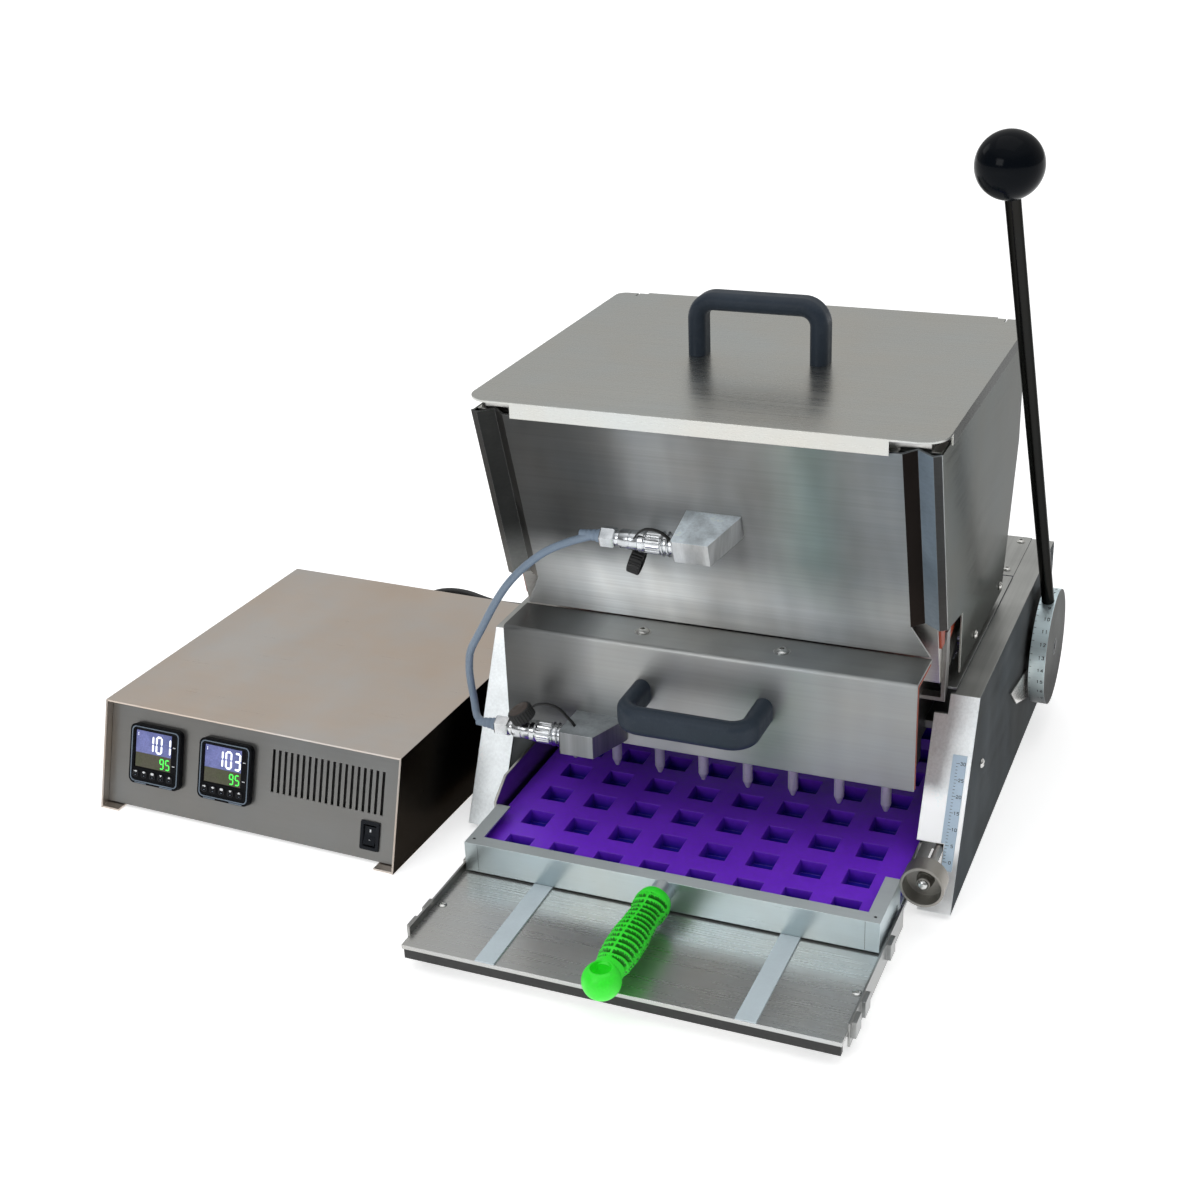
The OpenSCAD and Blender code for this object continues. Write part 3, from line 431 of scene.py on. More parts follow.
mats = {
    # lid: faces pointing +X get a darker colour and a dimmer reflection, painted shade on that side
    "lid": steel("lid_sheet", (0.55, 0.555, 0.53), 0.27, "x", 0.012, 0.02, 0.008, bands=0.02, band_scale=(7, 1.5, 7), smear=0.01, edge=0.2,
                 facing=[((1, 0, 0), 0.8, 0.95, (0.20, 0.205, 0.20))], f82=1.0, f82_facing=[((1, 0, 0), 0.8, 0.95, 0.35)]),
    # hopper front: painted light and shade; the X ramp lays dark and bright vertical zones, low paints a bright pool
    # along the bottom, the facing entries give its angled strips lit blue-grey and shaded brown copies, and the soft
    # vertical bands stand in for reflection streaks
    "hopper_front": steel("hopper_front_sheet", (0.34, 0.35, 0.35), 0.48, "x", 0.09, 0.05, 0.03, bands=0.20, band_scale=(26, 26, 1.6), smear=0.015, aniso=0.88,
                          ramp=("X", [(-0.01, 0.20), (0.03, 0.19), (0.06, 0.24), (0.08, 0.50), (0.10, 0.88), (0.137, 0.80), (0.175, 0.70), (0.195, (0.84, 0.90, 0.86)),
                                      (0.215, (0.56, 0.74, 0.74)), (0.235, 0.68), (0.27, (0.74, 0.80, 0.84))]),
                          low=(0.206, 0.252, [(0.0, 1.3), (0.05, 2.3), (0.10, 2.2), (0.15, 1.7), (0.20, 1.35), (0.28, 1.1)]),
                          facing=[((0.577, -0.782, -0.235), 0.93, 0.98, (0.017, 0.0125, 0.0105), 0.1, 0.12, 0.92),
                                  ((-0.577, -0.782, -0.235), 0.93, 0.98, (0.24, 0.285, 0.325), 0.1, 0.12, 0.8),
                                  ((0.577, -0.782, -0.235), 0.93, 0.98, (0.19, 0.195, 0.19), 0.1, 0.08, 0.8),
                                  ((-0.577, -0.782, -0.235), 0.93, 0.98, (0.12, 0.12, 0.115), 0.1, 0.08, 0.6)],
                          f82=1.0, f82_facing=[((0.577, -0.782, -0.235), 0.93, 0.98, 0.1)]),
    "hopper": steel("hopper_side_sheet", (0.32, 0.34, 0.325), 0.18, "y", 0.04, 0.05, 0.015, bands=0.06, band_scale=(8, 8, 3), smear=0.012, f82=0.26, metallic=0.95, spec=0.12),
    "tank": steel("tank_sheet", (0.55, 0.55, 0.53), 0.3, "x", 0.06, 0.04, 0.03),
    # nozzle cover: the X ramp paints light and shade across it, dark at the left and bright blue-tinted toward the
    # right
    "cover": steel("nozzle_cover_sheet", (0.32, 0.33, 0.33), 0.38, "x", 0.06, 0.04, 0.03, bands=0.14, band_scale=(18, 18, 2), smear=0.015, aniso=0.7,
                   ramp=("X", [(-0.01, 0.33), (0.03, 0.42), (0.055, 0.95), (0.075, 1.55), (0.10, 1.6), (0.14, 1.35), (0.19, 1.35), (0.225, (1.8, 2.7, 3.0)), (0.25, (1.8, 2.6, 2.8)), (0.275, (1.6, 1.9, 2.0))])),
    # side panels: faces pointing up get a lighter copy and the sloping front flange a near-white one, painted light
    # and a painted highlight, both with fuller reflection
    "panel": steel("side_panel_sheet", (0.19, 0.205, 0.215), 0.38, "y", 0.10, 0.12, 0.04, bands=0.16, band_scale=(10, 22, 10), smear=0.02, metallic=0.92, spec=0.08,
                   facing=[((0, 0, 1), 0.85, 0.97, (0.47, 0.475, 0.46)), ((0, -0.893, 0.449), 0.85, 0.97, (0.95, 0.99, 1.0), -1.0, -0.9, 0.15)],
                   f82=0.08, f82_facing=[((0, 0, 1), 0.85, 0.97, 1.0), ((0, -0.893, 0.449), 0.85, 0.97, 1.0)]),
    "flange": steel("flange_sheet", (0.60, 0.62, 0.63), 0.30, "z", 0.05, 0.03, 0.03, smear=0.015),
    # platform: the X ramp paints a warm-to-cool brightening across the top, a painted reflection
    "platform": steel("platform_sheet", (0.53, 0.53, 0.515), 0.28, "x", 0.03, 0.05, 0.010, bands=0.08, band_scale=(6, 5, 6), smear=0.005, metallic=0.86,
                      ramp=("X", [(-0.03, (1.0, 0.97, 0.94)), (0.05, 1.15), (0.12, 1.3), (0.2, (1.2, 1.3, 1.3)), (0.28, (1.0, 1.1, 1.1))])),
    "rail": steel("rail_sheet", (0.36, 0.36, 0.35), 0.32, "y", 0.06, 0.05, 0.04),
    # tray: the X ramp paints light that grows toward +X, and faces pointing up get their own colour and less metal so
    # they read bright, painted light
    "tray": steel("tray_sheet", (0.56, 0.64, 0.655), 0.30, "x", 0.03, 0.03, 0.02, smear=0.015, metallic=0.85,
                  ramp=("X", [(-0.02, 0.56), (0.05, 0.90), (0.14, 1.2), (0.20, 1.5), (0.28, 1.6)]),
                  facing=[((0, 0, 1), 0.85, 0.97, (0.54, 0.59, 0.60), -1.0, -0.9, 0.72)]),
    # box cover: the Z ramp paints light on the folded tabs at the very bottom, and the side pointing +X gets a
    # near-black colour and dim reflection, painted shade
    "box": steel("box_sheet", (0.63, 0.557, 0.495), 0.30, "x", 0.010, 0.05, 0.008, bands=0.05, band_scale=(9, 4, 9), warm=0.06, smear=0.012, edge=0.12,
                 ramp=("Z", [(0.0, 1.5), (0.002, 1.5), (0.006, 1.0), (0.09, 1.0)]),
                 facing=[((1, 0, 0), 0.8, 0.95, (0.055, 0.050, 0.045), -0.20, -0.15, 0.0)], f82=1.0, f82_facing=[((1, 0, 0), 0.8, 0.95, 0.12, -0.20, -0.15)]),
    # box front: the X ramp paints light and shade across the panel
    "box_front": steel("box_front_sheet", (0.25, 0.249, 0.241), 0.32, "x", 0.02, 0.05, 0.012, bands=0.05, warm=0.02, smear=0.015, metallic=0.93,
                       ramp=("X", [(-0.35, 1.8), (-0.31, 2.0), (-0.268, 2.3), (-0.20, 1.5), (-0.135, 1.7), (-0.095, 2.1), (-0.07, 1.8)])),
    "inner": steel("inner_sheet", (0.22, 0.22, 0.22), 0.38, "x", 0.1, 0.1, 0.1),
    "bright": steel("plated_steel", (0.62, 0.62, 0.60), 0.22, "z", 0.05, 0.08, 0.05, edge_r=0.0003),
    "shaft": steel("ground_steel", (0.40, 0.40, 0.41), 0.25, "x", 0.06, 0.06, 0.05, edge_r=0.0004),
    # socket block: the Z ramp paints shade on its lower part, and faces pointing up get a pale blue copy with less
    # metal, painted light
    "block": steel("socket_block", (0.56, 0.575, 0.59), 0.34, "z", 0.14, 0.06, 0.06, bands=0.30, band_scale=(60, 60, 4), edge=0.5, edge_r=0.0006, metallic=0.85,
                   ramp=("Z", [(0.09, 0.38), (0.13, 0.38), (0.20, 0.95), (0.30, 0.95)]), facing=[((0, -0.287, 0.958), 0.90, 0.98, (0.75, 0.83, 0.88), -1.0, -0.9, 0.75)]),
    "alu": steel("machined_block", (0.62, 0.62, 0.63), 0.32, "x", 0.1, 0.06, 0.1),
    # scale disc: the Z ramp paints shade that darkens the rim toward the bottom, and faces pointing +X and -X get
    # darker copies, painted shade
    "disc": steel("disc_metal", (0.80, 0.95, 1.0), 0.34, "x", 0.05, 0.10, 0.06, edge_r=0.0006, metallic=0.76, spec=0.2,
                  ramp=("Z", [(0.028, 0.03), (0.045, 0.06), (0.060, 0.30), (0.075, 0.95), (0.09, 1.05), (0.13, 1.05)]),
                  facing=[((1, 0, 0), 0.8, 0.95, (0.15, 0.155, 0.15)), ((-1, 0, 0), 0.8, 0.95, (0.30, 0.30, 0.30))],
                  f82=1.0, f82_facing=[((1, 0, 0), 0.8, 0.95, 0.22)]),
    # lever rod: a light stripe on faces pointing toward the front left, a painted highlight
    "rod": steel("lever_steel", (0.022, 0.022, 0.021), 0.20, "z", 0.03, 0.05, 0.02, edge_r=0.0003, f82=0.45,
                 facing=[((-0.55, -0.835, 0.0), 0.965, 0.995, (0.42, 0.42, 0.40))]),
    "plug": steel("nickel_plate", (0.60, 0.615, 0.63), 0.24, "x", 0.04, 0.08, 0.04, edge=0.4, edge_r=0.00025, bands=0.2, band_scale=(90, 90, 90)),
    "knob": steel("turned_knob", (0.36, 0.342, 0.312), 0.48, "y", 0.05, 0.16, 0.10, edge_r=0.0006, smear=0.05),
    "bronze": steel("sintered_bronze", (0.50, 0.33, 0.15), 0.42, "x", 0.04, 0.12, 0.2),
    "brass": steel("brass_pins", (0.70, 0.52, 0.22), 0.25, "x", 0.05, 0.05, 0.05, edge_r=0.0002),
    "black_edge": moulded("edge_strip", (0.018, 0.018, 0.018), 0.5),
    "slide": moulded("slide_plastic", (0.58, 0.67, 0.72), 0.42, 500, 0.10, 0.05, sub=0.0),
    "foot": moulded("foot_rubber", (0.02, 0.02, 0.02), 0.75, 500, 0.25, 0.2, dust=0.15),
    "gland": moulded("gland_nylon", (0.02, 0.02, 0.022), 0.42, 700),
    "scale": moulded("scale_strip", (0.55, 0.70, 0.84), 0.35, 800, 0.04, 0.05),
    "silicone_red": moulded("heater_silicone", (0.34, 0.055, 0.022), 0.6, 420, 0.4, 0.2, dust=0.12),
    "nozzle": moulded("nozzle_plastic", (0.62, 0.58, 0.66), 0.32, 600, 0.05, 0.08, sub=0.25),
    "handle": moulded("handle_plastic", (0.030, 0.041, 0.057), 0.40, 1100, 0.22, 0.12, edge_r=0.0012, dust=0.03, spec=0.16),
    "cap": moulded("cap_rubber", (0.012, 0.012, 0.012), 0.55, 700, 0.2, 0.15),
    "cap_face": moulded("cap_face", (0.055, 0.038, 0.030), 0.6, 300, 0.4, 0.35, dust=0.2),
    "case": moulded("controller_plastic", (0.004, 0.0045, 0.006), 0.34, 1200, 0.06, 0.08, edge_r=0.0006, spec=0.08),
    "bezel_painted_highlight": moulded("bezel_highlight", (0.17, 0.215, 0.27), 0.34, 1200, 0.04, 0.2, spec=0.3),
    "key": moulded("key_plastic", (0.012, 0.0125, 0.015), 0.35, 1100, 0.1, 0.1, spec=0.15),
    "glyph": moulded("white_print", (0.80, 0.82, 0.84), 0.5, 1500, 0.02, 0.04),
    "switch": moulded("switch_plastic", (0.008, 0.010, 0.014), 0.30, 1300, 0.05, 0.08, coat=0.05, spec=0.12),
    "electric": moulded("electric_plastic", (0.22, 0.22, 0.24), 0.5, 700),
    "grip": moulded("grip_rubber", (0.034, 0.95, 0.028), 0.40, 700, 0.10, 0.10, edge=0.2, edge_r=0.0009, sub=0.06),
    # darker green for the faces deep in the grip's grooves, painted shade
    "grip_groove_shade": moulded("grip_groove_painted_shade", (0.012, 0.26, 0.009), 0.5, 700, 0.10, 0.10, edge=0.1),
    "ball": moulded("ball_plastic", (0.0028, 0.004, 0.006), 0.14, 60, 0.012, 0.05, coat=0.03, spec=0.05),
    "white": moulded("piston_plastic", (0.72, 0.72, 0.70), 0.4, 500, 0.06, 0.04),
    "lead_grey": moulded("lead_grey", (0.19, 0.25, 0.33), 0.42, 900, 0.12, 0.10),
    "lead_black": moulded("lead_black", (0.013, 0.013, 0.013), 0.42, 900, 0.12, 0.10),
    "ink": moulded("dark_ink", (0.02, 0.022, 0.03), 0.5, 1500, 0.02, 0.1),
    "white_digit": moulded("lit_white", (0.92, 0.95, 1.0), 0.4, 1500, 0.01, 0.02, glow=0.75),
    "green_digit": moulded("lit_green", (0.08, 0.95, 0.10), 0.4, 1500, 0.01, 0.02, glow=0.7),
}


def mould_material():
    """Purple silicone: satin skin, with painted shade that makes it darker and bluer lower down, inside the cavities.
    """
    m, nt, b = new_mat("mould_silicone")
    co = coords(nt)
    sx = node(nt, "SeparateXYZ")
    wire(nt, co, sx.inputs[0])
    skin = noise_at(nt, co, (300, 300, 300), 1.0, 3.0, 0.55)
    clouds = noise_at(nt, co, (14, 14, 14), 1.0, 4.0, 0.6)
    # painted shade: darker and bluer toward the cavity bottoms
    deep = ranged(nt, sx.outputs[2], 1.0, 0.0, 0.0262, 0.0350)
    col = mixed(nt, ranged(nt, clouds, 0, 1, 0.3, 0.7), (0.175, 0.024, 0.74), (0.215, 0.036, 0.82))
    col = mixed(nt, deep, col, (0.014, 0.005, 0.34))
    bev = node(nt, "Bevel", samples=4)
    bev.inputs["Radius"].default_value = 0.0012
    geo = node(nt, "NewGeometry")
    dot = node(nt, "VectorMath", operation="DOT_PRODUCT")
    wire(nt, bev.outputs[0], dot.inputs[0])
    wire(nt, geo.outputs["Normal"], dot.inputs[1])
    col = mixed(nt, ranged(nt, dot.outputs["Value"], 0.45, 0.0, 0.75, 0.985), col, (0.24, 0.08, 0.80))
    wire(nt, scaled(nt, ranged(nt, skin, 0.93, 1.07, 0.3, 0.7), col), b.inputs["Base Color"])
    b.inputs["Specular IOR Level"].default_value = 0.42
    wire(nt, ranged(nt, skin, 0.34, 0.50, 0.3, 0.7), b.inputs["Roughness"])
    bp = node(nt, "Bump")
    bp.inputs["Strength"].default_value = 0.18
    bp.inputs["Distance"].default_value = 0.0003
    wire(nt, math_node(nt, "ADD", skin, clouds), bp.inputs["Height"])
    wire(nt, bev.outputs[0], bp.inputs["Normal"])
    wire(nt, bp.outputs[0], b.inputs["Normal"])
    return m


def window_material():
    """Display window: blue-violet upper field, olive to green lower field, glossy cover."""
    m, nt, b = new_mat("display_window")
    co = coords(nt)
    sx = node(nt, "SeparateXYZ")
    wire(nt, co, sx.inputs[0])
    grainy = noise_at(nt, co, (900, 900, 900), 1.0, 3.0, 0.6)
    clouds = noise_at(nt, co, (60, 60, 60), 1.0, 2.0, 0.5)
    upper = mixed(nt, ranged(nt, clouds, 0, 1, 0.35, 0.65), (0.085, 0.105, 0.26), (0.15, 0.165, 0.38))
    lower = mixed(nt, ranged(nt, clouds, 0, 1, 0.35, 0.65), (0.045, 0.052, 0.020), (0.055, 0.050, 0.030))
    band = ranged(nt, sx.outputs[2], 0, 1, 0.0473, 0.0477)
    col = mixed(nt, band, lower, upper)
    col = scaled(nt, ranged(nt, grainy, 0.8, 1.2, 0.3, 0.7), col)
    wire(nt, col, b.inputs["Base Color"])
    wire(nt, col, b.inputs["Emission Color"])
    b.inputs["Emission Strength"].default_value = 0.35
    wire(nt, ranged(nt, grainy, 0.10, 0.22, 0.3, 0.7), b.inputs["Roughness"])
    b.inputs["Coat Weight"].default_value = 0.12
    return m


mats["mould"] = mould_material()
mats["window"] = window_material()
mats["dark_window"] = moulded("dark_window", (0.004, 0.004, 0.006), 0.22, 1200, 0.03, 0.05, coat=0.05, spec=0.08)

NODE_MATS = {
    "base_plate": "rail", "front_platform": "platform", "side_rails": "rail", "platform_edge_trim": "black_edge",
    "slide_strips": "slide", "rubber_feet": "foot", "side_panel_right": "panel", "side_panel_left": "panel",
    "screws": "bright", "rear_covers": "panel", "quantity_scale": "scale", "disc_pointer": "bright",
    "shaft_bushes": "bronze", "cable_glands": "gland", "hopper_tank": "tank", "hopper_front_cover": "hopper_front",
    "hopper_shell": "hopper", "heater_mats": "silicone_red", "metering_block": "alu", "nozzle_block": "alu",
    "nozzles": "nozzle", "support_brackets": "inner", "nozzle_cover": "cover", "cover_handle": "handle",
    "connector_blocks": "block", "connectors": "plug", "dust_caps": "cap", "box_cover": "box",
    "box_front_panel": "box_front", "box_chassis": "inner", "controller_cases": "case", "display_lenses": "window",
    "switch_and_inlet": "switch", "box_electrics": "electric", "lid_panel": "lid", "lid_handle": "handle",
    "tray_frame": "tray", "mould": "mould", "grip_handle": "grip", "drive_shaft": "shaft", "scale_disc": "disc",
    "lever_rod": "rod", "lever_ball": "ball", "piston_carriage": "alu", "pistons": "white", "quantity_knob": "knob",
    "quantity_stop": "bronze", "power_rocker": "switch", "jumper_lead": "lead_grey", "control_lead": "lead_black",
}
for c in ("left", "right"):
    for k in range(1, 6):
        NODE_MATS[f"{c}_button_{k}"] = "key"
for n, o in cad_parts.items():
    m = mats[NODE_MATS[n]]
    if not o.material_slots:
        o.data.materials.append(m)
    for s in o.material_slots:
        s.material = m
jumper.data.materials.append(mats["lead_grey"])
control.data.materials.append(mats["lead_black"])


# ---------------------------------------------------------------- mesh helpers
def piece(name, parts, mat, body, angle=40.0, bevel=0.0, segs=2, replaces=(), mods=()):
    """Joins (verts in machine mm, faces, material index) parts into one object that rides on a body."""
    bm = bmesh.new()
    for part in parts:
        vs, fs = part[0], part[1]
        idx = part[2] if len(part) > 2 else 0
        made = [bm.verts.new(row(v)) for v in vs]
        for q, f in enumerate(fs):
            try:
                bm.faces.new([made[i] for i in f]).material_index = idx[q] if isinstance(idx, list) else idx
            except ValueError:
                pass
    bmesh.ops.recalc_face_normals(bm, faces=bm.faces)
    me = bpy.data.meshes.new(name)
    bm.to_mesh(me)
    bm.free()
    for m in (mat if isinstance(mat, (list, tuple)) else [mat]):
        me.materials.append(m)
    for p in me.polygons:
        p.use_smooth = True
    me.set_sharp_from_angle(angle=math.radians(angle))
    o = bpy.data.objects.new(name, me)
    bpy.context.scene.collection.objects.link(o)
    if bevel:
        bv = o.modifiers.new("edges", "BEVEL")
        bv.width = bevel / 1000
        bv.segments = segs
        bv.limit_method = "ANGLE"
        bv.angle_limit = math.radians(35)
        bv.harden_normals = False
    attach(o, body)
    if replaces:
        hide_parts(*replaces)
    return o


def turned(prof, n=64, mod=None, mat=ONE, idx=0, hollow=False):
    """A turned body about Z from (z, r) stations, with an optional radius function."""
    vs, fs = [], []
    for i, (z, r) in enumerate(prof):
        for j in range(n):
            a = 2 * PI * j / n
            q = r if mod is None else mod(i, z, r, a)
            vs.append(mat @ Vector((q * math.cos(a), q * math.sin(a), z)))
    for i in range(len(prof) - 1):
        for j in range(n):
            fs.append((i * n + j, i * n + (j + 1) % n, (i + 1) * n + (j + 1) % n, (i + 1) * n + j))
    if hollow:
        last = (len(prof) - 1) * n
        for j in range(n):
            fs.append((last + j, last + (j + 1) % n, (j + 1) % n, j))
    else:
        fs.append(tuple(range(n - 1, -1, -1)))
        fs.append(tuple(range((len(prof) - 1) * n, len(prof) * n)))
    return vs, fs, idx


def prism(poly, z0, z1, mat=ONE, idx=0):
    n = len(poly)
    vs = [mat @ Vector((x, y, z)) for z in (z0, z1) for x, y in poly]
    fs = [tuple(range(n - 1, -1, -1)), tuple(range(n, 2 * n))]
    fs += [(j, (j + 1) % n, n + (j + 1) % n, n + j) for j in range(n)]
    return vs, fs, idx


def slab(a, b, mat=ONE, idx=0):
    return prism([(a[0], a[1]), (b[0], a[1]), (b[0], b[1]), (a[0], b[1])], a[2], b[2], mat, idx)


def rounded(x0, y0, x1, y1, r, k=6):
    out = []
    for cx, cy, s in ((x1 - r, y1 - r, 0), (x0 + r, y1 - r, 1), (x0 + r, y0 + r, 2), (x1 - r, y0 + r, 3)):
        for i in range(k + 1):
            a = PI / 2 * (s + i / k)
            out.append((cx + r * math.cos(a), cy + r * math.sin(a)))
    return out


def ring_frame(outer, inner, z0, z1, mat=ONE, idx=0):
    """A closed frame between two loops of the same count."""
    n = len(outer)
    vs = [mat @ Vector((x, y, z)) for loop, z in ((outer, z0), (outer, z1), (inner, z1), (inner, z0)) for x, y in loop]
    fs = []
    for s in range(4):
        for j in range(n):
            a, b = s * n, ((s + 1) % 4) * n
            fs.append((a + j, a + (j + 1) % n, b + (j + 1) % n, b + j))
    return vs, fs, idx


def strip(pts, normals, w, t, idx=0):
    """A flat strap of width w and thickness t that follows points, w along each given direction."""
    vs, fs = [], []
    m = len(pts)
    for i, p in enumerate(pts):
        tan = (pts[min(i + 1, m - 1)] - pts[max(i - 1, 0)]).normalized()
        wd = normals[i] - normals[i].dot(tan) * tan
        wd.normalize()
        up_ = tan.cross(wd).normalized()
        for a, b in ((-1, -1), (1, -1), (1, 1), (-1, 1)):
            vs.append(p + wd * (a * w / 2) + up_ * (b * t / 2))
    for i in range(m - 1):
        for j in range(4):
            fs.append((4 * i + j, 4 * i + (j + 1) % 4, 4 * (i + 1) + (j + 1) % 4, 4 * (i + 1) + j))
    fs.append((3, 2, 1, 0))
    fs.append(tuple(4 * (m - 1) + j for j in range(4)))
    return vs, fs, idx


def look(origin, z, x=None):
    """A placing matrix with its Z along z."""
    z = Vector(z).normalized()
    x = Vector(x) if x else (Vector((0, 0, 1)) if abs(z.z) < 0.9 else Vector((1, 0, 0)))
    x = (x - x.dot(z) * z).normalized()
    y = z.cross(x)
    return Matrix(((x.x, y.x, z.x, origin[0]), (x.y, y.y, z.y, origin[1]), (x.z, y.z, z.z, origin[2]), (0, 0, 0, 1)))


SEG = {"0": "abcdef", "1": "bc", "2": "abged", "3": "abgcd", "4": "fgbc", "5": "afgcd", "6": "afgedc", "7": "abc",
       "8": "abcdefg", "9": "abcdfg"}


def seven(text, x0, y0, h, w, step, z0, z1, mat, idx=0, th=None):
    """Lit segment digits, drawn left to right on a plane."""
    th = th or h * 0.115
    g = th * 0.10
    out = []
    for i, ch in enumerate(text):
        ox = x0 + i * step
        hh = h / 2
        horizontal = {"a": h - th / 2, "g": hh, "d": th / 2}
        vertical = {"f": (th / 2, hh), "b": (w - th / 2, hh), "e": (th / 2, 0), "c": (w - th / 2, 0)}
        for s in SEG[ch]:
            if s in horizontal:
                y = y0 + horizontal[s]
                a, b = ox + th / 2 + g, ox + w - th / 2 - g
                q = th / 2
                poly = [(a, y), (a + q, y - q), (b - q, y - q), (b, y), (b - q, y + q), (a + q, y + q)]
            else:
                cx, lo = vertical[s]
                x = ox + cx
                a, b = y0 + lo + g + (th / 2 if lo == 0 else 0), y0 + lo + hh - g - (th / 2 if lo else 0)
                q = th / 2
                poly = [(x, a), (x + q, a + q), (x + q, b - q), (x, b), (x - q, b - q), (x - q, a + q)]
            out.append(prism(poly, z0, z1, mat, idx))
    return out


# stroke digits on a 4 x 6 grid, for engraved and printed numbers
STROKES = {"0": [[(0, 1), (1, 0), (3, 0), (4, 1), (4, 5), (3, 6), (1, 6), (0, 5), (0, 1)]], "1": [[(1, 5), (2, 6), (2, 0)]],
           "2": [[(0, 5), (1, 6), (3, 6), (4, 5), (4, 4), (0, 0), (4, 0)]], "3": [[(0, 6), (4, 6), (2, 3.5), (3.2, 3.5), (4, 2.5), (4, 1), (3, 0), (1, 0), (0, 1)]],
           "4": [[(3, 0), (3, 6), (0, 2), (4, 2)]], "5": [[(4, 6), (0.5, 6), (0, 3.4), (3, 3.6), (4, 2.6), (4, 1), (3, 0), (0, 0)]],
           "6": [[(3.6, 6), (1.4, 5), (0, 3), (0, 1), (1, 0), (3, 0), (4, 1), (4, 2.4), (3, 3.4), (0.4, 3)]], "7": [[(0, 6), (4, 6), (1.4, 0)]],
           "8": [[(2, 3.3), (0.4, 4.4), (1, 6), (3, 6), (3.6, 4.4), (2, 3.3), (0, 2), (0.6, 0), (3.4, 0), (4, 2), (2, 3.3)]],
           "9": [[(0.4, 0), (2.6, 1), (4, 3), (4, 5), (3, 6), (1, 6), (0, 5), (0, 3.6), (1, 2.6), (3.6, 3)]]}


def stroke(pts, wd, z0, z1, mat, idx=0):
    out = []
    for a, b in zip(pts, pts[1:]):
        a, b = Vector((*a, 0)), Vector((*b, 0))
        d = (b - a)
        if d.length < 1e-6:
            continue
        d.normalize()
        nrm = Vector((-d.y, d.x, 0)) * wd / 2
        a, b = a - d * wd * 0.4, b + d * wd * 0.4
        poly = [(p.x, p.y) for p in (a - nrm, b - nrm, b + nrm, a + nrm)]
        out.append(prism(poly, z0, z1, mat, idx))
    return out


def digits(text, h, wd, z0, z1, mat, idx=0):
    s = h / 6
    step = 4 * s + wd * 2.2
    x0 = -(len(text) * step - wd * 2.2) / 2
    out = []
    for i, ch in enumerate(text):
        for line in STROKES[ch]:
            out += stroke([(x0 + i * step + x * s, -h / 2 + y * s) for x, y in line], wd, z0, z1, mat, idx)
    return out


# ---------------------------------------------------------------- plugs on the jumper lead
def plug_parts(mat):
    """Local x runs from the cable end to the socket block."""
    m = mat @ ry(90)
    ps = []
    # hex nut with chamfered corners
    hexa = [(7.5 * math.cos(PI / 3 * i), 7.5 * math.sin(PI / 3 * i)) for i in range(6)]
    small = [(6.7 * math.cos(PI / 3 * i), 6.7 * math.sin(PI / 3 * i)) for i in range(6)]
    vs, fs = [], []
    for z, loop in ((-67, small), (-66.1, hexa), (-57.4, hexa), (-56.4, small)):
        vs += [m @ Vector((x, y, z)) for x, y in loop]
    for i in range(3):
        for j in range(6):
            fs.append((6 * i + j, 6 * i + (j + 1) % 6, 6 * (i + 1) + (j + 1) % 6, 6 * (i + 1) + j))
    fs += [tuple(range(5, -1, -1)), tuple(range(18, 24))]
    ps.append((vs, fs, 0))
    ps.append(turned([(-56.6, 5.2), (-55, 5.6), (-53.4, 5.4), (-53, 6.3), (-52, 6.9), (-46, 6.9), (-45.6, 6.6), (-45.2, 6.6), (-44.8, 6.9),
                      (-40, 6.9), (-39.4, 6.5), (-38.8, 7.4), (-38.3, 7.8), (-35, 7.8), (-34.4, 7.3), (-34, 7.0)], 64, None, m))
    # knurled grip ring
    prof = [(-34.2, 7.0), (-33.6, 7.4)] + [(-33 + 0.5 * i, 7.7) for i in range(21)] + [(-22.6, 7.4), (-22.2, 6.8)]
    ps.append(turned(prof, 96, lambda i, z, r, a: r + (0.22 * math.cos(24 * a) if 1 < i < len(prof) - 2 else 0), m))
    # coil spring sleeve and thread
    prof = [(-22.6 + 0.3 * i, 7.0) for i in range(56)]
    ps.append(turned(prof, 48, lambda i, z, r, a: r + 0.1 + 1.65 * max(0.0, math.cos(2 * PI * z / 4.0 - a)) ** 0.8 * min(1, (i + 1) / 3, (56 - i) / 3), m))
    ps.append(turned([(-6.2, 7.4), (-5.6, 8.2), (-4.2, 8.2), (-3.6, 7.2), (-2.5, 6.0)], 64, None, m))
    return ps


UP = LEAN @ tr(0, -24.5, 93.5)
LOW = tr(-83.4, -95.5, 108.2)
up_plug = piece("upper_plug_body", plug_parts(UP), mats["plug"], "chassis", 35, replaces=("connectors",))
low_plug = piece("lower_plug_body", plug_parts(LOW), mats["plug"], "chassis", 35, replaces=("connectors",))
for nm, mt in (("upper_lead_boot", UP), ("lower_lead_boot", LOW)):
    m = mt @ ry(90)
    prof = [(-83, 2.95), (-81, 3.1), (-79, 3.2), (-78.6, 3.05), (-77.6, 3.05), (-77.2, 3.5), (-75.6, 3.6), (-75.2, 3.35), (-74.2, 3.35),
            (-73.8, 3.9), (-72.2, 4.0), (-71.8, 3.7), (-70.8, 3.7), (-70.4, 4.4), (-67.6, 4.8), (-66.6, 5.0)]
    piece(nm, [turned(prof, 40, None, m)], mats["lead_grey"], "chassis")


# ---------------------------------------------------------------- protective caps with their straps
def cap_parts(mat, h, slots=10):
    def ribs(i, z, r, a):
        return r + (0.28 * (1 if math.cos(24 * a) > 0 else -1) if 1 <= i <= 6 and r > 8 else 0)
    prof = [(0.2, 8.2), (0.6, 8.8), (1.6, 8.9), (3, 8.9), (h - 2.2, 8.9), (h - 1.2, 8.9), (h - 0.4, 8.8), (h, 8.3), (h, 7.4), (h - 6.6, 7.3), (h - 6.8, 0.4)]
    vs, fs, _ = turned(prof, 96, ribs, mat)
    return [(vs, fs, 0)]


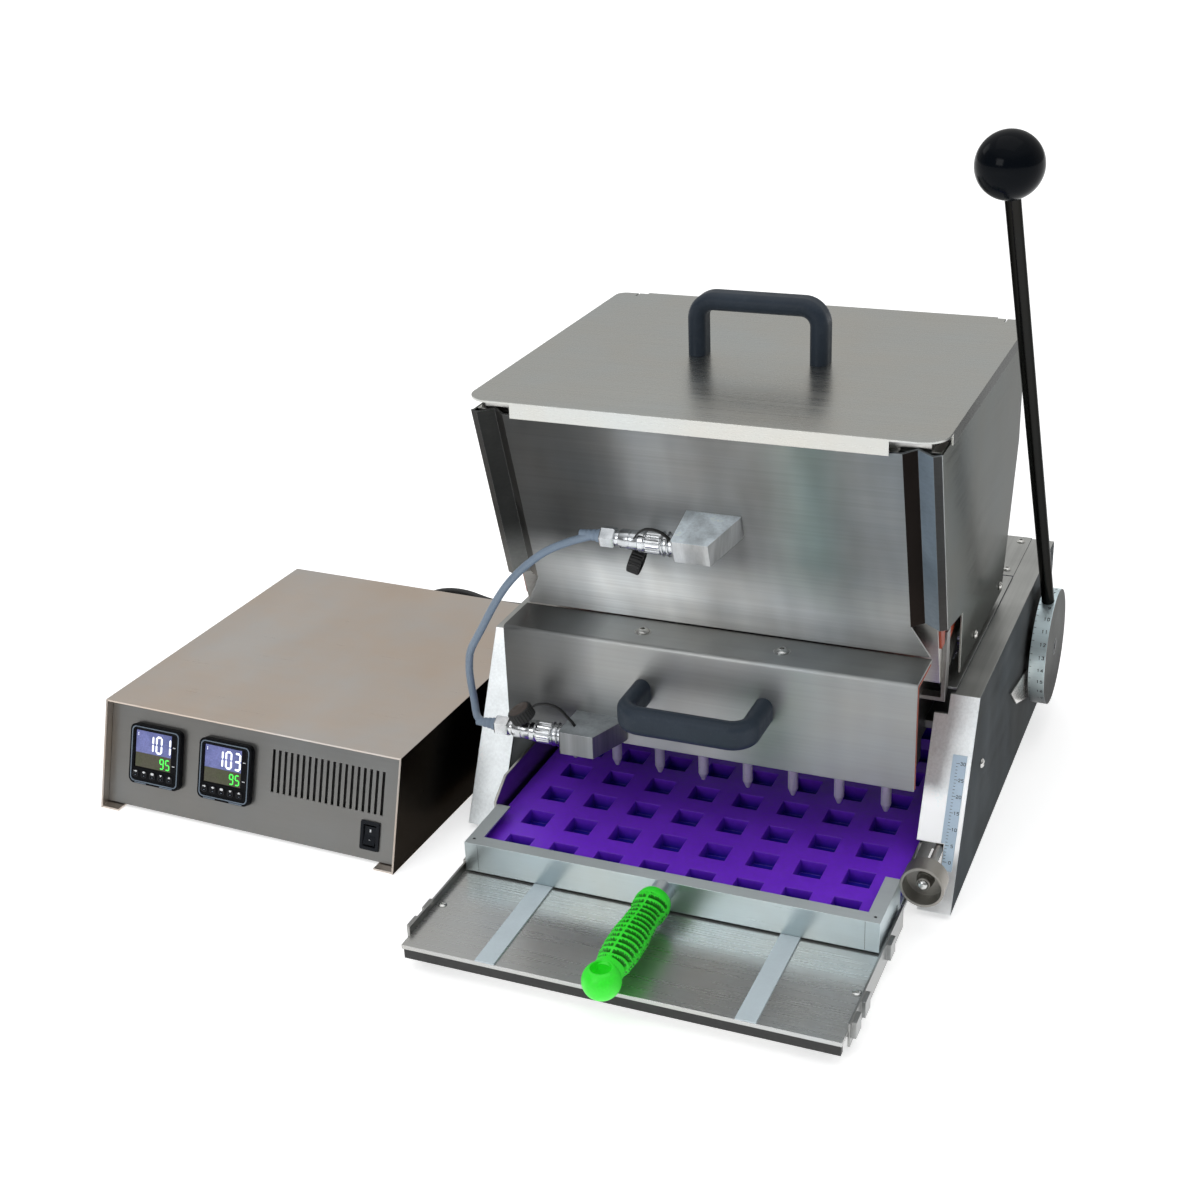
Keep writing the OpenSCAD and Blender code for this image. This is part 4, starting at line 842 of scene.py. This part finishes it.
CAP_U = tr(-46.5, -72, 241.3) @ rz(6) @ ry(108) @ tr(0, 0, -4.6)
CAP_L = tr(-128.7, -103, 128.2) @ rz(26.4) @ ry(-27) @ tr(0, 0, -9.2)
# upper cap: edge on, castellated rim at its lower end
parts = cap_parts(CAP_U, 9.2)
for k in range(8):
    a = 2 * PI * k / 8
    mk = CAP_U @ rz(math.degrees(a))
    parts.append(slab((6.6, -1.5, 8.8), (8.4, 1.5, 9.2), mk))
piece("upper_cap", parts, mats["cap"], "chassis", 30, replaces=("dust_caps",))
parts = cap_parts(CAP_L @ tr(0, 0, 9.2) @ rx(180), 9.2)
parts.append((*turned([(-0.02, 7.6), (0.28, 7.4), (0.30, 5.2), (0.12, 5.0), (0.12, 0.3)], 64, None, CAP_L @ tr(0, 0, 8.92))[:2], 1))
piece("lower_cap", parts, [mats["cap"], mats["cap_face"]], "chassis", 30, replaces=("dust_caps",))


def strap(name, pts, across, w=2.6, t=1.1):
    q = fine([Vector(p) for p in pts], 8)
    piece(name, [strip(q, [Vector(across)] * len(q), w, t)], mats["cap"], "chassis", 60, bevel=0.35)


def ring_band(name, mat, x0, x1, r0, r1):
    m = mat @ ry(90)
    piece(name, [turned([(x0, r0), (x0, r1 - 0.3), (x0 + 0.3, r1), (x1 - 0.3, r1), (x1, r1 - 0.3), (x1, r0)], 64, None, m, hollow=True)],
          mats["cap"], "chassis", 40)


ring_band("upper_strap_ring", UP, -5.6, -4.4, 8.15, 9.6)
ring_band("lower_strap_ring", LOW, -5.6, -4.4, 8.15, 9.6)
strap("upper_cap_strap", [(-46.5, -74, 249), (-44.8, -83, 257), (-40, -88.5, 267), (-32, -90.5, 273.5), (-22.5, -89.5, 272.5), (-14, -88.2, 266), (-8.5, -87.5, 259.5), (-4.9, -86.5, 254.8)],
      (0, 1, 0.2))
strap("lower_cap_strap", [(-121, -99.5, 128.5), (-115, -97.5, 131.5), (-107, -96.5, 132), (-99.5, -95.8, 129), (-94.5, -95.5, 124), (-90.5, -95.5, 120.2), (-88.5, -95.5, 117.2)],
      (0, 1, 0))

# ---------------------------------------------------------------- controllers
# Coordinates on the sloping front: u across, t up, w outward.
BEZ = (23.5, 89.2)
DIG = ("101", "103")
for c, u in enumerate(BEZ):
    side_name = ("left", "right")[c]
    t0 = 25.5
    in_l = rounded(u + 1.7, t0 + 1.7, u + 46.3, t0 + 46.3, 3.8)
    in2_o = rounded(u + 3.1, t0 + 3.1, u + 44.9, t0 + 44.9, 2.8)
    in2_i = rounded(u + 3.8, t0 + 3.8, u + 44.2, t0 + 44.2, 2.4)
    # the thin raised outer ring carries a painted highlight colour
    ps = [ring_frame(in_l, rounded(u + 2.5, t0 + 2.5, u + 45.5, t0 + 45.5, 3.3), 3.1, 3.7, FACE, 0),
          ring_frame(in2_o, in2_i, 3.1, 3.4, FACE, 1)]
    # short bright painted highlights under the lower lip
    for a, b in ((6, 17), (30, 42)):
        ps.append(prism(rounded(u + a, t0 + 0.35, u + b, t0 + 1.25, 0.4, 4), 3.1, 3.5, FACE, 0))
    piece(f"{side_name}_bezel_ridge_highlight", ps, [mats["bezel_painted_highlight"], mats["case"]], "chassis", 40, bevel=0.12)
    # the case: a rounded bezel with the window opening, and the body behind the panel
    ps = [ring_frame(rounded(u, t0, u + 48, t0 + 48, 5.0), rounded(u + 4.5, t0 + 13.0, u + 43.5, t0 + 44.0, 0.8), -1.5, 3.2, FACE),
          slab((u + 2, t0 + 2, -58), (u + 46, t0 + 46, -1.4), FACE)]
    for k in range(5):
        kx, ky = u + 6.9 + 8.1 * k, t0 + 8.2
        ps.append(ring_frame(rounded(kx - 3.3, ky - 3.4, kx + 3.3, ky + 3.4, 2.2), rounded(kx - 2.95, ky - 3.05, kx + 2.95, ky + 3.05, 1.9), 3.15, 3.35, FACE))
    piece(f"{side_name}_controller_case", ps, mats["case"], "chassis", 40, bevel=0.5, replaces=("controller_cases",))
    # window mask: dark border round the lit field
    fx0, fx1, ft0, ft1 = u + 5.3, u + 39.0, t0 + 13.7, t0 + 43.0
    mask = ring_frame([(u + 4.7, t0 + 13.2), (u + 43.3, t0 + 13.2), (u + 43.3, t0 + 43.8), (u + 4.7, t0 + 43.8)],
                      [(fx0, ft0), (fx1, ft0), (fx1, ft1), (fx0, ft1)], 2.38, 2.52, FACE)
    piece(f"{side_name}_window_mask", [mask], mats["dark_window"], "chassis")
    ps = seven(DIG[c], u + 16.0, t0 + 26.4, 14.4, 6.4, 8.1, 2.42, 2.56, FACE, 0)
    ps += seven("1", u + 6.2, t0 + 38.4, 3.2, 1.3, 1.6, 2.42, 2.5, FACE, 0, th=0.45)
    piece(f"{side_name}_white_digits", ps, mats["white_digit"], "chassis")
    piece(f"{side_name}_green_digits", seven("95", u + 28.4, t0 + 14.8, 8.6, 4.2, 5.4, 2.42, 2.56, FACE, 0), mats["green_digit"], "chassis")
    # side indicator bars
    ps = [slab((u + 40.6, t0 + 33.6 - 14.9 * k, 2.53), (u + 43.0, t0 + 34.3 - 14.9 * k, 2.62), FACE) for k in range(2)]
    piece(f"{side_name}_indicator_bars", ps, mats["glyph"], "chassis")
    # the keys: a rounded cap with a glossy oval carrying a painted highlight, and a printed mark, each on its own body
    for k in range(5):
        bx, by = u + 6.9 + 8.1 * k, t0 + 10.0
        z0, z1 = 3.98, 4.05
        shapes = {
            0: [[(-1.5, -0.3), (0.3, -0.3), (0.3, -0.9), (1.7, 0), (0.3, 0.9), (0.3, 0.3), (-1.5, 0.3)]],
            1: [[(-1.6, 0), (0.3, -1.0), (0.3, -0.35), (1.4, -0.35), (1.4, 0.35), (0.3, 0.35), (0.3, 1.0)]],
            2: [rounded(-1.4, -0.9, 1.4, 0.9, 0.5, 4)],
            3: [[(-1.3, 0.7), (0, -0.9), (1.3, 0.7)]],
            4: [[(-1.3, -0.7), (1.3, -0.7), (0, 0.9)]],
        }[k]
        ps = [prism([(bx + x, by + y) for x, y in sh], z0, z1, FACE, 1) for sh in shapes]
        kx, ky = bx, t0 + 8.2
        ps.append(prism(rounded(kx - 2.75, ky - 2.75, kx + 2.75, ky + 2.75, 1.7), 0.62, 3.97, FACE, 0))
        ps.append(prism([(kx + 1.9 * math.cos(PI * i / 10), ky - 1.15 + 1.15 * math.sin(PI * i / 10)) for i in range(20)], 3.96, 4.02, FACE, 2))
        # a small bright mark on the glossy oval, a painted highlight
        ps.append(prism([(kx - 0.7, ky - 1.35), (kx + 0.7, ky - 1.35), (kx + 0.5, ky - 1.0), (kx - 0.5, ky - 1.0)], 4.01, 4.05, FACE, 3))
        piece(f"{side_name}_key_{k + 1}", ps, [mats["key"], mats["glyph"], mats["dark_window"], mats["bezel_painted_highlight"]], f"{side_name}_button_{k + 1}",
              replaces=(f"{side_name}_button_{k + 1}",))

# ---------------------------------------------------------------- power switch marks
RK = FACE @ tr(238.4, 23.6, -4)
ps = [slab((4.3, 2.6, 2.61), (5.7, 4.8, 2.70), RK)]
ps += [turned([(3.30, 0.55), (3.30, 1.05), (3.40, 1.05), (3.40, 0.55)], 32, None, RK @ tr(5, -3.1, 0.50) @ rx(16.2) @ tr(0, 0, -0.40), hollow=True)]
piece("rocker_marks", ps, mats["glyph"], "power_rocker")
piece("switch_rim", [ring_frame(rounded(235.3, 12.5, 251.5, 34.7, 1.6), rounded(237.9, 15.2, 248.9, 32.0, 0.6), -0.62, 0.05, FACE)],
      mats["switch"], "chassis", 40, bevel=0.25)

# ---------------------------------------------------------------- disc graduations
DX, DY, DZ, DR = 191.0, 218.0, 78.0, 47.0
ps = []
for k in range(56):
    a = 2 * PI * (k + 0.5) / 56
    d = Vector((0, math.cos(a), math.sin(a)))
    m = look(Vector((0, DY, DZ)) + d * DR, d, (1, 0, 0))
    ps.append(slab((184.9, -0.16, -0.15), (184.9 + (1.9 if k % 2 else 1.2), 0.16, 0.05), m))
for k in range(28):
    a = 2 * PI * k / 28
    d = Vector((0, math.cos(a), math.sin(a)))
    m = look(Vector((193.7, DY, DZ)) + d * DR, d, (0, -math.sin(a), math.cos(a)))
    ps += digits(str(k), 2.4, 0.5, -0.15, 0.05, m @ rz(90))
piece("disc_graduations", ps, mats["ink"], "lever")
# a flat dark disc on the hub face, painted shade for the recess at the centre, with a ring of disc metal round it
hub = look((197.3, DY, DZ), (1, 0, 0), (0, 0, 1))
ps = [turned([(0.02, 6.2), (0.06, 6.1), (0.06, 0.4)], 64, None, hub)]
ps.append((*ring_frame([(6.9 * math.cos(PI * i / 16), 6.9 * math.sin(PI * i / 16)) for i in range(32)],
                       [(6.15 * math.cos(PI * i / 16), 6.15 * math.sin(PI * i / 16)) for i in range(32)], -0.02, 0.12, hub)[:2], 1))
piece("disc_centre_painted_shade", ps, [mats["ink"], mats["disc"]], "lever", 30)

# ---------------------------------------------------------------- quantity strip marks
vv = Vector((0, -24.64 + 60.88, 103 - 31)).normalized()
nn = Vector((0, -vv.z, vv.y))
SC = Matrix(((1, 0, 0, 0), (0, vv.y, nn.y, 0), (0, vv.z, nn.z, 0), (0, 0, 0, 1)))
SC = tr(173.55, -61.54, 31) @ SC
ps = []
for k in range(0, 31):
    y = 6 + k * 2.3
    ln = 2.6 if k % 5 == 0 else 1.4
    ps.append(slab((-3.2, y - 0.14, -0.02), (-3.2 + ln, y + 0.14, 0.07), SC))
for k in range(0, 31, 5):
    ps += digits(str(k), 2.0, 0.34, -0.02, 0.07, SC @ tr(1.5, 6 + k * 2.3, 0))
piece("quantity_graduations", ps, mats["ink"], "chassis")


# ---------------------------------------------------------------- screws
def button_head(m, r, h, socket=True):
    prof = [(-0.6, r * 0.9), (0.0, r * 0.98), (0.25 * h, r), (0.55 * h, r * 0.9), (0.82 * h, r * 0.7), (0.97 * h, r * 0.5), (h, r * 0.44)]
    vs, fs, _ = turned(prof, 36, None, m)
    fs = fs[:-1]
    n = 36
    if not socket:
        fs.append(tuple(range(6 * n, 7 * n)))
        return [(vs, fs, 0)]
    base = len(vs)
    hr = r * 0.40

    def hexr(a):
        b = (a + PI / 6) % (PI / 3) - PI / 6
        return hr * math.cos(PI / 6) / math.cos(b)
    for z in (h * 0.98, h * 0.25):
        for j in range(n):
            a = 2 * PI * j / n
            q = hexr(a)
            vs.append(m @ Vector((q * math.cos(a), q * math.sin(a), z)))
    for j in range(n):
        fs.append((6 * n + j, 6 * n + (j + 1) % n, base + (j + 1) % n, base + j))
        fs.append((base + j, base + (j + 1) % n, base + n + (j + 1) % n, base + n + j))
    fs.append(tuple(range(base + n, base + 2 * n)))
    return [(vs, fs, 0)]


ps = []
for s in (-1, 1):
    for y in (-201, -100):
        ps += button_head(tr(s * 148.2, y, 20), 3.2, 1.2)
    for y in (60, 150):
        ps += button_head(look((s * 162, y, 156), (s, 0, 0)), 3.2, 1.9)
    ps += button_head(tr(s * 51.5, -52.5, 177.8), 5.0, 2.6)
    ps.append(turned([(177.75, 5.2), (177.75, 6.0), (178.1, 6.0), (178.1, 5.2)], 40, None, tr(s * 51.5, -52.5, 0), hollow=True))
ps += button_head(look((180.6, 9.6, 79.8), (1, 0, 0)), 3.6, 2.3)
ps += button_head(look((-192, 9.6, 79.8), (-1, 0, 0)), 3.6, 2.3)
for x in (-162, 155):
    for y in (219, 279):
        ps += button_head(tr(x, y, 139.9), 3.4, 2.0)
piece("socket_screws", ps, mats["bright"], "chassis", 32, replaces=("screws",))

# ---------------------------------------------------------------- knob detail
kn = look((166.3, -96.5, 43), (0, -1, 0))
ps = [turned([(-4.0, 6.2), (-0.6, 5.9), (0.0, 5.4), (4.0, 4.9), (4.6, 4.4)], 48, None, kn)]
hp = button_head(kn @ tr(0, 0, 4.5), 3.9, 2.6, socket=False)
ps += [(v, f, 1) for v, f, _ in hp]
piece("knob_screw_head", ps, [mats["knob"], mats["bright"]], "quantity_knob", 32)
ps = [turned([(9.02, 13.35), (9.02, 15.0), (8.6, 15.25), (7.6, 15.25), (7.1, 14.9), (7.1, 13.3)], 96,
             lambda i, z, r, a: r, look((166.3, -96.5, 43), (0, -1, 0)), hollow=True)]
piece("knob_rolled_rim", ps, mats["knob"], "quantity_knob", 50)


# ---------------------------------------------------------------- ribbed grip
def build_grip():
    """Open ribbed grip: a core, transverse ribs cut by two spines, and a ball end with a hanging hole."""
    ax = tr(0, 0, 38.5) @ rx(90)

    def base_r(s):
        st = [(171.6, 9.6), (173, 11.6), (178, 12.6), (184, 12.4), (192, 10.9), (204, 11.5), (218, 12.6), (230, 12.7), (244, 11.8),
              (252, 10.4), (258, 10.2), (262, 9.4)]
        for (a, p), (b, q) in zip(st, st[1:]):
            if a <= s <= b:
                t = (s - a) / (b - a)
                t = t * t * (3 - 2 * t)
                return p + (q - p) * t
        return st[-1][1]
    n = 96
    zs = [171.6 + 0.42 * i for i in range(int((262 - 171.6) / 0.42) + 1)]
    vs, fs, tone, deep = [], [], [], []
    for s in zs:
        for j in range(n):
            a = 2 * PI * j / n
            r = base_r(s)
            cut = 0.0
            if 180 < s < 254:
                # distance round from the nearest spine (top, bottom, left, right of the grip)
                d = min(abs(((a - k * PI / 2 + PI) % (2 * PI)) - PI) for k in (0, 1, 2, 3))
                spine = 1.0 if d * r < 0.9 else max(0.0, 1 - (d * r - 0.9) / 0.7)
                skew = 1.5 * math.cos(2 * a)
                w = ((s + skew - 180) % 5.3) / 5.3
                rib = 1.0 if w < 0.40 else (max(0.0, 1 - (w - 0.40) / 0.10) if w < 0.5 else (max(0.0, (w - 0.90) / 0.10)))
                end = min(1.0, (s - 180) / 1.5, (254 - s) / 1.5)
                cut = (1 - max(spine, rib)) * end
                r -= 3.6 * cut
            deep.append(cut)
            vs.append(ax @ Vector((r * math.cos(a), r * math.sin(a), s)))
    for i in range(len(zs) - 1):
        for j in range(n):
            fs.append((i * n + j, i * n + (j + 1) % n, (i + 1) * n + (j + 1) % n, (i + 1) * n + j))
            # faces deep in the grooves take the darker green, painted shade in the slots
            tone.append(1 if max(deep[i * n + j], deep[(i + 1) * n + j]) > 0.45 else 0)
    fs.append(tuple(range(n - 1, -1, -1)))
    fs.append(tuple(range((len(zs) - 1) * n, len(zs) * n)))
    tone += [0, 0]
    body = piece("grip_body", [(vs, fs, tone)], [mats["grip"], mats["grip_groove_shade"]], "tray", 55, replaces=("grip_handle",))

    # ball end: a ring-like solid of revolution about the hole's axis, joined to the neck
    hole = tr(0, -266.8, 38.5)
    R, H, T = 13.0, 6.8, 12.6
    prof = []
    k = 26
    for i in range(k + 1):
        a = -PI / 2 + PI * i / k
        z = R * math.sin(a) * 0.985
        r = max(R * math.cos(a), 0)
        if r > H + 1.2:
            prof.append((z, r))
    zt = prof[-1][0]
    inner = [(zt + 0.55, H + 0.75), (zt + 0.45, H + 0.25), (zt - 0.4, H), (0, H - 0.15), (-zt + 0.4, H), (-zt - 0.45, H + 0.25), (-zt - 0.55, H + 0.75)]
    piece("grip_end_ring", [turned(prof + inner, 96, lambda i, z, r, a: r, hole, hollow=True)], mats["grip"], "tray", 60)
    return body


build_grip()


# ---------------------------------------------------------------- glands, small fittings
def gland(name, mat):
    """Domed clamping nut on a hexagon base; Z runs outward along the lead."""
    hexa = lambda r: [(r * math.cos(PI / 3 * i), r * math.sin(PI / 3 * i)) for i in range(6)]
    vs, fs = [], []
    for z, r in ((0, 8.3), (0.5, 8.5), (4.6, 8.5), (5.0, 8.2)):
        vs += [mat @ Vector((x, y, z)) for x, y in hexa(r)]
    for i in range(3):
        for j in range(6):
            fs.append((6 * i + j, 6 * i + (j + 1) % 6, 6 * (i + 1) + (j + 1) % 6, 6 * (i + 1) + j))
    fs += [tuple(range(5, -1, -1)), tuple(range(18, 24))]
    dome = turned([(4.9, 6.0), (5.4, 6.9), (11.4, 6.9), (14.2, 6.2), (16.2, 5.0), (17.0, 4.1), (21, 3.9), (24, 3.6), (27.5, 3.35)], 72,
                  lambda i, z, r, a: r - (0.35 if (1 <= i <= 2 and math.cos(12 * a) > 0.72) else 0), mat)
    piece(name, [(vs, fs, 0), dome], mats["gland"], "chassis", 35, replaces=("cable_glands",))


gland("box_gland_nut", BX @ tr(95, 298, 45) @ rx(-90))
gland("body_gland_nut", look((-192.0, 206, 52), (-1, 0, 0)))

# tray corner welds, and drain holes drawn as flat dark dots of painted shade
ps = []
for sgn in (-1, 1):
    ps.append(slab((sgn * 141.3 - 0.12, -157.12, 22.2), (sgn * 141.3 + 0.12, -157.0, 44.2)))
    ps.append(turned([(44.42, 1.1), (44.50, 1.05), (44.50, 0.3)], 24, None, tr(sgn * 146.5, -150.5, 0)))
piece("tray_corner_marks", ps, mats["ink"], "tray")
# inner lips of the panels' top folds, under the hopper's sides
for sgn, nm in ((1, "right"), (-1, "left")):
    x0, x1 = sorted((sgn * 150.5, sgn * 162.6))
    piece(f"{nm}_panel_top_lip", [slab((x0, 2, 139.2), (x1, 204, 141.0))], mats["panel"], "chassis", bevel=0.2)
# dark sheet just behind the vents of the box front, painted shade inside the vent slots
piece("vent_shade_sheet", [slab((151, 38, -7.4), (258, 77, -6.9), FACE)], mats["black_edge"], "chassis", bevel=0.1)

# ---------------------------------------------------------------- floor and light
bm = bmesh.new()
bmesh.ops.create_grid(bm, x_segments=8, y_segments=8, size=30.0)
me = bpy.data.meshes.new("floor")
bm.to_mesh(me)
bm.free()
floor = bpy.data.objects.new("floor", me)
bpy.context.scene.collection.objects.link(floor)
fm, nt, b = new_mat("pale_floor")
co = coords(nt)
f = noise_at(nt, co, (3, 3, 3), 1.0, 3.0, 0.5)
wire(nt, scaled(nt, ranged(nt, f, 0.985, 1.0, 0.3, 0.7), (0.93, 0.93, 0.93)), b.inputs["Base Color"])
b.inputs["Roughness"].default_value = 0.9
b.inputs["Specular IOR Level"].default_value = 0.1
b.inputs["Emission Color"].default_value = (1, 1, 1, 1)
b.inputs["Emission Strength"].default_value = 0.55
me.materials.append(fm)

world = bpy.data.worlds.new("studio")
bpy.context.scene.world = world
world.use_nodes = True
nt = world.node_tree
nt.nodes.clear()
wo = nt.nodes.new("ShaderNodeOutputWorld")
bg = nt.nodes.new("ShaderNodeBackground")
tc = nt.nodes.new("ShaderNodeTexCoord")
sp = nt.nodes.new("ShaderNodeSeparateXYZ")
nt.links.new(tc.outputs["Generated"], sp.inputs[0])


def wramp(value, lo, hi, stops):
    mr = nt.nodes.new("ShaderNodeMapRange")
    mr.inputs["From Min"].default_value, mr.inputs["From Max"].default_value = lo, hi
    nt.links.new(value, mr.inputs["Value"])
    cr = nt.nodes.new("ShaderNodeValToRGB")
    cr.color_ramp.interpolation = "EASE"
    els = cr.color_ramp.elements
    els[0].position, els[0].color = stops[0][0], (*stops[0][1], 1)
    els[1].position, els[1].color = stops[-1][0], (*stops[-1][1], 1)
    for q, g in stops[1:-1]:
        els.new(q).color = (*g, 1)
    nt.links.new(mr.outputs[0], cr.inputs[0])
    return cr.outputs[0]


# dim room toward the front, paler wall behind, bright ceiling
front = wramp(sp.outputs["Z"], -0.1, 1.0, [(0.0, (0.16, 0.16, 0.16)), (0.25, (0.14, 0.14, 0.145)), (0.5, (0.22, 0.22, 0.22)), (0.75, (0.65, 0.66, 0.67)), (1.0, (1, 1, 1))])
rear = wramp(sp.outputs["Z"], -0.1, 1.0, [(0.0, (0.40, 0.40, 0.39)), (0.25, (0.46, 0.46, 0.45)), (0.5, (0.56, 0.56, 0.55)), (0.75, (0.75, 0.75, 0.75)), (1.0, (1, 1, 1))])
turnf = nt.nodes.new("ShaderNodeMapRange")
turnf.interpolation_type = "SMOOTHSTEP"
turnf.inputs["From Min"].default_value, turnf.inputs["From Max"].default_value = -0.35, 0.55
nt.links.new(sp.outputs["Y"], turnf.inputs["Value"])
mx = nt.nodes.new("ShaderNodeMix")
mx.data_type = "RGBA"
nt.links.new(turnf.outputs[0], mx.inputs[0])
nt.links.new(front, mx.inputs[6])
nt.links.new(rear, mx.inputs[7])
nt.links.new(mx.outputs[2], bg.inputs["Color"])
bg.inputs["Strength"].default_value = 1.0
nt.links.new(bg.outputs[0], wo.inputs["Surface"])


def area(name, loc, target, size, size_y, power, color=(1, 1, 1)):
    ld = bpy.data.lights.new(name, "AREA")
    ld.shape = "RECTANGLE"
    ld.size, ld.size_y = size, size_y
    ld.energy = power
    ld.color = color
    o = bpy.data.objects.new(name, ld)
    bpy.context.scene.collection.objects.link(o)
    o.location = loc
    o.rotation_mode = "QUATERNION"
    o.rotation_quaternion = (Vector(target) - Vector(loc)).to_track_quat("-Z", "Y")
    return o


area("front_softbox", (-0.60, -2.15, 1.20), (0.3, -0.05, 0.1), 0.95, 0.8, 9, (0.98, 0.99, 1.0))
area("top_softbox", (0.0, -0.2, 3.0), (0.05, 0.0, 0.1), 3.0, 2.4, 10)
area("left_softbox", (-2.3, 0.6, 1.9), (0.0, 0.0, 0.2), 1.0, 1.0, 4)

sc = bpy.context.scene
sc.view_settings.view_transform = "Standard"
sc.view_settings.look = "None"
sc.view_settings.exposure = 0.0
sc.view_settings.gamma = 1.0
